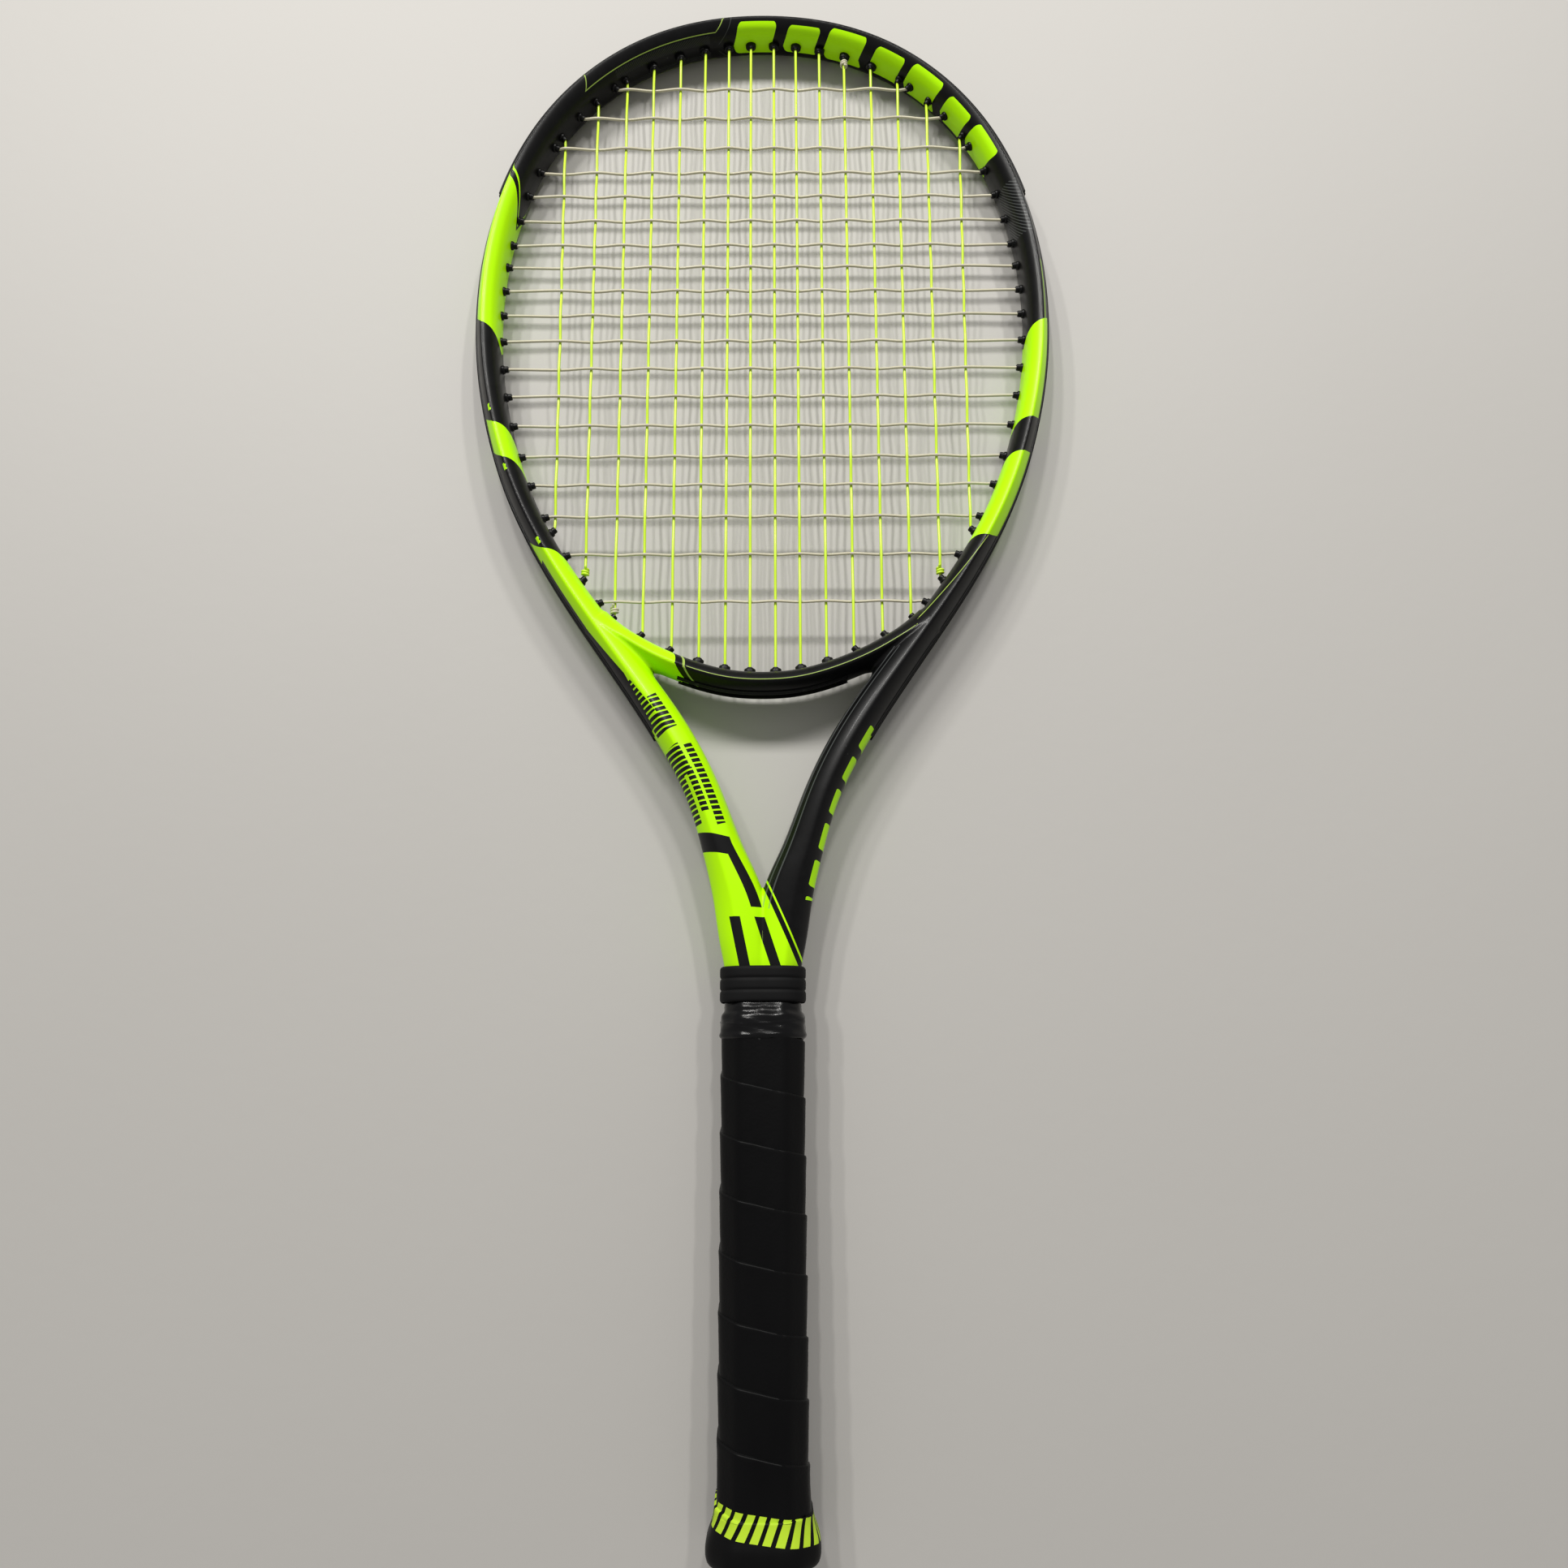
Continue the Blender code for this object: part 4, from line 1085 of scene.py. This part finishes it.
# ---- paint: colours, then places in mm along the tube from the head tip or in half widths across it ----
LIME = (0.45, 0.9, 0.0)
LIME_DEEP = (0.4, 0.82, 0.0)
LACQUER = (0.0018, 0.0018, 0.002)
CHARCOAL = (0.006, 0.006, 0.0065)
# GREY serves scuffs, the hatching, and the painted highlight lines on the right arm's inner facet edges.
GREY = (0.12, 0.13, 0.13)
OUTLINE = (0.3, 0.42, 0.08)
BAR_LIME = (0.42, 0.62, 0.03)
MATT_BLACKS = ((0.001, 0.001, 0.0012), (0.003, 0.003, 0.0033))
LIME_STRING = ((0.5, 0.72, 0.02), (0.62, 0.85, 0.05))
NATURAL_STRING = ((0.42, 0.385, 0.27), (0.56, 0.53, 0.41))
LEFT_BANDS = ((160.5, 239.5, -1.7, -0.85), (155.6, 157.0, -1.8, -1.8), (291.0, 309.0, -0.8, -0.9))
LEFT_FLECKS = (283.5, 314.0, 353.0)
RIGHT_LINE = (207.0, 240.0, 0.50, 0.58)
RIGHT_BANDS = ((239.5, 289.5, -0.7, -0.5), (307.0, 351.0, -0.5, -0.6))
ARM_BARS = (
    (440.0, 457.0, -0.38, 0.22), (448.0, 457.0, -0.38, 0.9), (464.0, 500.0, 0.62, 1.2),
    (464.0, 478.0, 0.1, 0.64), (476.0, 496.0, 0.04, 0.44), (466.0, 503.0, -0.56, -0.12),
)
# Painted highlights: two thin grey lines along the right arm's inner facet edges, in mm along and half widths
# across.
ARM_HIGHLIGHT_LINES = ((415.0, 540.0, -0.62, -0.56), (415.0, 540.0, -0.86, -0.8))
SHAFT_BARS = ((13.6, 236.0, 0.21, 4.4), (3.4, 236.0, 0.33, 4.2))
EDGE_BLOCKS_START, EDGE_BLOCKS_END, EDGE_BLOCK_STEP = 449.0, 545.0, 16.0
HOOP_LINE_START, HOOP_LINE_END = 351.0, 404.0
HEAD_BLOCKS_START, HEAD_BLOCK_STEP, HEAD_BLOCKS = -13.6, 23.3, 7
BRACKET_ENDS = (-99.0, -23.7)
FINE_HATCH, COARSE_HATCH = (-80.0, -27.0, -8.0, -4.0), (163.0, 192.0)
SHAFT_TOP_Y, ARM_FOOT_Y = 243.0, 240.0
BUTT_BARS = 24.0


def slanted(along, around, start, end, lean_start, lean_end):
    """Mask of a band along the tube whose two ends slant across it."""
    return (along - around * lean_start).over(start) & (along - around * lean_end).under(end)


def rounded_block(local, across, half_long, half_wide, radius):
    """Mask of a rectangle with rounded corners, centred where both fields are zero."""
    a = (local.size() - half_long) + radius
    b = (across.size() - half_wide) + radius
    a = a.math("MAXIMUM", 0.0)
    b = b.math("MAXIMUM", 0.0)
    return (a * a + b * b).math("SQRT").under(radius)


def repeat(field, start, pitch):
    """Position from the middle of each step of a repeated pattern."""
    return ((field - start) / pitch).math("FRACT") * pitch - pitch / 2


def hatch(along, around, pitch, share, lean):
    """Thin parallel stripes across the tube."""
    return ((along - around * lean) / pitch).math("FRACT").under(share)


def patch(along, across, start, end, inner, outer):
    """Mask of a plain rectangle between two places along the tube and two across it."""
    return along.within(start, end) & across.within(inner, outer)


def union(masks):
    """Mask of everything that any of the masks covers."""
    whole, *others = masks
    for mask in others:
        whole = whole | mask
    return whole


def left_lime(along, around):
    """Lime fields, line and flecks of the left half, from the head down to the arm."""
    mask = union([slanted(along, around, *band) for band in LEFT_BANDS])
    mask = mask | (along + around * 1.1).over(357.5)
    for middle in LEFT_FLECKS:
        mask = mask | patch(along, around, middle - 1.6, middle + 1.6, -0.2, 1.3)
    lower = around.over(5.2) & along.within(360.0, 420.0)
    wedge = (around - (along - 425.0).size() * 0.13).over(1.8) & along.within(400.0, 452.0)
    return mask.without(lower).without(wedge)


def right_lime(along, around, across):
    """Lime fields, a thin line and the blocks on the arm's edge, on the right half."""
    mask = union([slanted(along, around, *band) for band in RIGHT_BANDS])
    edge = repeat(along, EDGE_BLOCKS_START, EDGE_BLOCK_STEP)
    blocks = rounded_block(edge, (across - 1.0) * 7.0, 5.6, 1.9, 0.8)
    blocks = blocks & along.within(EDGE_BLOCKS_START, EDGE_BLOCKS_END)
    return mask | patch(along, across, *RIGHT_LINE) | blocks


def hoop_line(along, across):
    """Thin line that drifts over the right side's crest towards the bridge."""
    drift = across + (along - HOOP_LINE_START - 1.0) * 0.021
    return along.within(HOOP_LINE_START, HOOP_LINE_END) & drift.within(0.28, 0.34)


def head_blocks(along, around, z):
    """Generic slanted lime blocks on the head's right side: over the inner slope, and on the crest behind."""
    slant = along - around * 0.3
    odd = ((slant - HEAD_BLOCKS_START) / HEAD_BLOCK_STEP * 0.5).math("FRACT").over(0.5)
    local = repeat(slant, HEAD_BLOCKS_START, HEAD_BLOCK_STEP)
    below = z.under(0.0)
    inner = around - below * (around * 2.0 + 22.0)
    pair = []
    for shift, half_long, slope, half_slope, crest, half_crest in (
        (0.0, 9.7, -8.5, 7.55, 2.4, 4.6), (0.8, 8.2, -8.3, 6.7, 2.0, 4.2),
    ):
        front = rounded_block(local - shift, inner - slope, half_long, half_slope, 1.8)
        back = rounded_block(local - shift, around - crest, half_long, half_crest, 1.8)
        pair.append(front | (back & below))
    wide, narrow = pair
    row = slant.within(HEAD_BLOCKS_START, HEAD_BLOCKS_START + HEAD_BLOCKS * HEAD_BLOCK_STEP)
    return (wide.without(odd) | (narrow & odd)) & row


def head_bracket(along, around):
    """Thin outline on the inner slope of the head's left side, its ends rising to the crest."""
    line = patch(along, around, *BRACKET_ENDS, -3.4, -3.04)
    for start in BRACKET_ENDS:
        rise = along - around * 1.45 - (start + 3.2 * 1.45)
        line = line | (rise.size().under(0.28) & around.within(-3.4, 0.3))
    return line


def head_hatching(along, around):
    """Faint grey hatching below the outline, a slanted line beside it and hatching on the right side."""
    fine = hatch(along, around, 1.5, 0.35, 1.4) & patch(along, around, *FINE_HATCH)
    slant = (along - around * 0.85 + 15.0).size().under(0.2) & around.within(-9.0, -0.2)
    coarse = hatch(along, around, 1.9, 0.3, 1.4) & along.within(*COARSE_HATCH)
    return fine * 0.5 | slant * 0.7 | coarse


def arm_marks(along, across):
    """Dark hatched bars down the left arm, then a solid bar with a leg."""
    step = across + (along - 428.0) * 0.012
    stepped = along.within(429.0, 447.0) & step.over(0.45) & across.under(0.98)
    bars = union([stepped, *(patch(along, across, *place) for place in ARM_BARS)])
    bar = slanted(along, across, 507.0, 515.5, -4.5, -4.5) & across.over(-0.5)
    leg = along.within(509.0, 546.0) & (across + 0.3 + (along - 512.0) * 0.011).size().under(0.2)
    return (bars & hatch(along, across, 2.4, 0.7, -1.2)) | bar | leg


def shaft_black(x, y):
    """Black right side of the shaft with a lime line before it, and its dark bars and wedge."""
    edge = x - (244.0 - y) * 0.44
    right = edge.over(2.2).without(edge.within(4.4, 5.2))
    bars = []
    for shift, top, lean, width in SHAFT_BARS:
        bars.append((x + shift - (top - y) * lean).within(0.0, width) & y.under(top))
    wedge = (x + 18.4 - (226.0 - y) * 0.18).under(0.0) & y.under(226.0)
    return right, union([*bars, wedge])


def lacquer(name):
    """Clear-coated paint base shared by the hairpin and the bridge."""
    return Material(name, 0.3, coat_weight=0.03, coat_roughness=0.1, specular_ior_level=0.13)


def finish_lacquer(made, lime, marks):
    """Black lacquer under lime paint, then marks given as masks and colours, with gloss and fine surface."""
    cloud = made.noise(24.0, 2.0)
    scuff = made.noise(900.0, 4.0, (1.0, 0.16, 1.0)).over(0.73) & made.noise(45.0, 2.0).over(0.56)
    lime_paint = made.mix(cloud, LIME_DEEP, LIME)
    black_paint = made.mix(made.noise(260.0, 2.0), LACQUER, CHARCOAL)
    black_paint = made.mix(scuff * 0.35, black_paint, GREY)
    base = made.mix(lime, black_paint, lime_paint)
    for mask, colour in marks:
        base = made.mix(mask, base, colour)
    made.colour(base)
    made.roughness(made.noise(70.0, 3.0) * 0.12 + 0.26 + scuff * 0.15)
    made.bump(made.noise(1500.0, 2.0), 0.000012)


def frame_material():
    """Lime and black lacquer of the hairpin with generic blocks, bars, thin lines, and two painted highlight
    lines along the right arm's inner facet edges.
    """
    made = lacquer("frame_lacquer")
    along, around, across = made.surface()
    x, y, z = made.axes()
    length = along.size()
    left = x.under(0.0)
    hoop = y.over(ARM_FOOT_Y)
    lime = (left_lime(length, around) & left) | (right_lime(length, around, across) & x.over(0.0))
    lime = lime | head_blocks(along, around, z)
    right, bars = shaft_black(x, y)
    near_shaft = (y.under(262.0) & x.size().under(9.0)) | y.under(SHAFT_TOP_Y)
    lime = (lime.without(near_shaft)) | near_shaft.without(right)
    dark = (arm_marks(length, across) & left & hoop) | (bars & y.under(ARM_FOOT_Y))
    grey = head_hatching(along, around) & y.over(500.0)
    # Painted highlight: two thin grey lines along the right arm's inner facet edges.
    lines = union([patch(length, across, *line) for line in ARM_HIGHLIGHT_LINES]) & x.over(0.0)
    outline = head_bracket(along, around) | (hoop_line(length, across) & x.over(0.0))
    finish_lacquer(made, lime, ((dark, CHARCOAL), (outline, OUTLINE), ((grey | lines) * 0.45, GREY)))
    return made.mat


def bridge_material():
    """Lacquer of the throat bridge: lime at its left end, then a lime line and glossy black."""
    made = lacquer("bridge_lacquer")
    along, around, across = made.surface()
    lime = (along - around * 0.8).under(-38.0)
    line = (along - around * 0.8).within(-34.6, -33.5) | (along.over(-33.0) & across.within(0.11, 0.17))
    finish_lacquer(made, lime, ((line, OUTLINE),))
    return made.mat


def nylon_material():
    """Black moulded nylon of the strips, bumper and barrels, with pale rubbed edges."""
    made = Material("black_nylon", 0.4, specular_ior_level=0.2)
    scuff = made.noise(420.0, 5.0, (1.0, 1.0, 0.35)).over(0.66) & made.noise(38.0, 2.0).over(0.5)
    made.colour(made.mix(scuff * 0.3, (0.002, 0.002, 0.0022), (0.06, 0.06, 0.06)))
    made.roughness(made.noise(160.0, 3.0) * 0.25 + 0.26)
    made.bump(made.noise(2600.0, 2.0), 0.00002)
    return made.mat


def string_material(name, dark, light):
    """Extruded string: slight colour drift, fine rubs and a waxy gloss."""
    made = Material(name, 0.3, ior=1.45)
    rub = made.noise(1400.0, 3.0).over(0.7) * 0.4
    drift = made.noise(55.0, 2.0)
    body = made.mix(drift, dark, light)
    made.colour(made.mix(rub, body, tuple(min(1.0, c * 1.25 + 0.02) for c in light)))
    made.roughness(made.noise(300.0, 2.0) * 0.2 + 0.22)
    made.bump(made.noise(1800.0, 2.0), 0.00002)
    return made.mat


def butt_bars(made):
    """Row of generic slanted bars round the butt flare, following the wrap's slope."""
    x, y, z = made.axes()
    angle = x.math("ARCTAN2", z)
    height = y + angle * 2.2 - 14.9
    band = height.size().under(4.3)
    turn = height * 0.09 - angle * (BUTT_BARS / (2 * math.pi))
    bars = turn.math("FRACT").under(0.64)
    return band & bars & z.over(-4.0)


def grip_material():
    """Tacky black synthetic grip with pores, polished streaks and the lime bars."""
    made = Material("grip_wrap", 0.45, specular_ior_level=0.1)
    pores = made.tree.nodes.new("ShaderNodeTexVoronoi")
    pores.inputs["Scale"].default_value = 850.0
    made.tree.links.new(made.place, pores.inputs["Vector"])
    grain = Field(made.tree, pores.outputs["Distance"])
    streak = made.noise(40.0, 4.0, (1.0, 0.35, 1.0))
    body = made.mix(streak, *MATT_BLACKS)
    made.colour(made.mix(butt_bars(made), body, BAR_LIME))
    made.roughness(streak * 0.3 + 0.3)
    made.bump(grain * 0.5 + made.noise(500.0, 3.0), 0.00006)
    return made.mat


def moulding_material(name, barred):
    """Moulded plastic with a fine spark-eroded grain, with the lime bars if barred."""
    made = Material(name, 0.5, specular_ior_level=0.1)
    body = made.mix(made.noise(30.0, 2.0), *MATT_BLACKS)
    if barred:
        body = made.mix(butt_bars(made), body, BAR_LIME)
    made.colour(body)
    made.roughness(made.noise(120.0, 2.0) * 0.2 + 0.38)
    made.bump(made.noise(1900.0, 3.0), 0.00003)
    return made.mat


def plain_material(name, gloss, tone, dark, light, rough=None, relief=None, **sockets):
    """Mottled material: noise between two colours, then noise on its roughness and its relief."""
    made = Material(name, gloss, **sockets)
    made.colour(made.mix(made.noise(*tone), dark, light))
    if rough:
        noise, span, least = rough
        made.roughness(made.noise(*noise) * span + least)
    if relief:
        noise, depth = relief
        made.bump(made.noise(*noise), depth)
    return made.mat


def tape_material():
    """Glossy stretched film."""
    return plain_material(
        "tape_film", 0.16, (90.0, 3.0), (0.0015, 0.0015, 0.0018), (0.004, 0.004, 0.0045),
        rough=((150.0, 3.0, (1.0, 3.0, 1.0)), 0.25, 0.08),
        relief=((240.0, 4.0, (1.0, 4.0, 1.0)), 0.00012), specular_ior_level=0.2,
    )


def rubber_material():
    """Matte moulded rubber with a dusty bloom."""
    return plain_material(
        "collar_rubber", 0.7, (60.0, 4.0), (0.002, 0.002, 0.0022), (0.006, 0.006, 0.0065),
        rough=((200.0, 3.0), 0.2, 0.56), relief=((2200.0, 3.0), 0.00004), specular_ior_level=0.12,
    )


def foam_material():
    """Moulded polyurethane foam of the pallets."""
    return plain_material(
        "pallet_foam", 0.85, (300.0, 4.0), (0.42, 0.37, 0.26), (0.6, 0.55, 0.42),
        relief=((900.0, 4.0), 0.0001),
    )


def steel_material():
    """Bright drawn staple wire."""
    return plain_material(
        "staple_steel", 0.3, (900.0, 2.0, (0.2, 1.0, 1.0)), (0.42, 0.42, 0.44), (0.62, 0.62, 0.64),
        rough=((700.0, 2.0), 0.2, 0.22), metallic=1.0,
    )


def floor_material():
    """Pale sheet with soft unevenness."""
    return plain_material(
        "pale_floor", 0.6, (2.5, 2.0), (0.4, 0.388, 0.37), (0.43, 0.418, 0.4),
        relief=((120.0, 2.0), 0.00005),
    )


# ---------------------------------------------------------------- stage

def build_floor(mat):
    """Pale floor that touches the butt flare and the head's underside."""
    slope = (HEAD_UNDERSIDE + STRING_PLANE) / (HEAD_REST_Y - BUTT_REST_Y)
    corners = []
    near, far = FLOOR_YS
    for x, y in ((-FLOOR_X, near), (FLOOR_X, near), (FLOOR_X, far), (-FLOOR_X, far)):
        corners.append((x, y, slope * (y - BUTT_REST_Y) - STRING_PLANE - 0.05))
    item = mesh_object("floor", corners, [(0, 1, 2, 3)], smooth=False)
    item.data.materials.append(mat)


def area_light(name, place, target, size, power, colour):
    """Soft rectangular light aimed at a point."""
    data = bpy.data.lights.new(name, "AREA")
    data.shape = "RECTANGLE"
    data.size, data.size_y = size
    data.energy = power
    data.color = colour
    back = unit(np.subtract(place, target))
    side = unit(np.cross((0.0, 1.0, 0.0), back))
    aim(linked(name, data), place, side, np.cross(back, side), back)


def build_lights():
    """Row of small soft lamps beyond the head, and a pale surround."""
    for index, x in enumerate(LAMP_XS):
        place = (x, LAMP_Y, LAMP_HEIGHT)
        area_light("lamp_%d" % index, place, (0.0, 0.05, 0.0), LAMP_SIZE, LAMP_POWER, LAMP_COLOUR)
    world = bpy.data.worlds.new("surround")
    world.use_nodes = True
    shade = world.node_tree.nodes["Background"]
    shade.inputs["Color"].default_value = (1.0, 0.985, 0.965, 1.0)
    shade.inputs["Strength"].default_value = SURROUND
    bpy.context.scene.world = world


def build_camera():
    """Camera above the handle, tipped towards the head."""
    tilt = math.radians(CAMERA_TILT)
    forward = np.array([CAMERA_TURN, 1.0, 0.0])
    right = np.array([1.0, -CAMERA_TURN, 0.0])
    up = np.array([0.0, 0.0, 1.0])
    look = math.sin(tilt) * forward - math.cos(tilt) * up
    image_up = math.cos(tilt) * forward + math.sin(tilt) * up
    data = bpy.data.cameras.new("camera")
    data.sensor_width = 36.0
    data.lens = CAMERA_LENS
    data.clip_start = 0.01
    item = linked("camera", data)
    aim(item, to_world(CAMERA_AT), right, image_up, -look)
    bpy.context.scene.camera = item


# ---------------------------------------------------------------- build

def paint(item, mat):
    """Put a material on every slot of a CAD node."""
    for slot in item.material_slots:
        slot.link = "OBJECT"
        slot.material = mat


def build():
    """Build every visible piece around the CAD frame."""
    tops, bottoms = main_holes()
    sides = cross_holes()
    right = tops + bottoms + sides
    every = right + [mirrored(hole) for hole in right]

    build_shell(frame_material(), bridge_material())

    nylon = nylon_material()
    bumper_end = beam.at_height(BUMPER_END_Y, 0.0, 300.0)
    strip_end = beam.at_height(STRIP_END_Y, 300.0, 560.0)
    on_beam = [hole for hole in every if hole["curve"] is beam]
    head = [hole for hole in on_beam if abs(hole["s"]) < bumper_end]
    build_strip("bumper_shell", "head_bumper_guard", beam, -bumper_end, bumper_end, BUMPER, head, PADDED_X,
                nylon)
    for name, side in (("left", -1), ("right", 1)):
        own = [hole for hole in on_beam if hole["s"] * side > bumper_end]
        build_strip(name + "_strip_shell", name + "_grommet_strip", beam, side * (bumper_end + 0.3),
                    side * strip_end, STRIP, own, 0.0, nylon)
    yoke = [hole for hole in every if hole["curve"] is bridge]
    build_strip("throat_strip_shell", "throat_grommet_strip", bridge, -THROAT_STRIP_HALF, THROAT_STRIP_HALF,
                STRIP, yoke, PADDED_X, nylon)

    lime = string_material("lime_string", *LIME_STRING)
    clear = string_material("natural_string", *NATURAL_STRING)
    build_main_string(tops, bottoms, lime)
    build_cross_string(sides, tops, bottoms, clear)

    build_grip(grip_material())
    build_tape(tape_material())
    build_collar(rubber_material())
    build_cap(moulding_material("cap_plastic", True))
    build_trapdoor(moulding_material("door_plastic", False))

    foam = foam_material()
    steel = steel_material()
    for name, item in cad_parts.items():
        if name.startswith("handle_pallet"):
            paint(item, foam)
        if name.startswith("butt_staple"):
            paint(item, steel)

    build_floor(floor_material())
    build_lights()
    build_camera()
    bpy.context.scene.view_settings.view_transform = "Standard"


build()
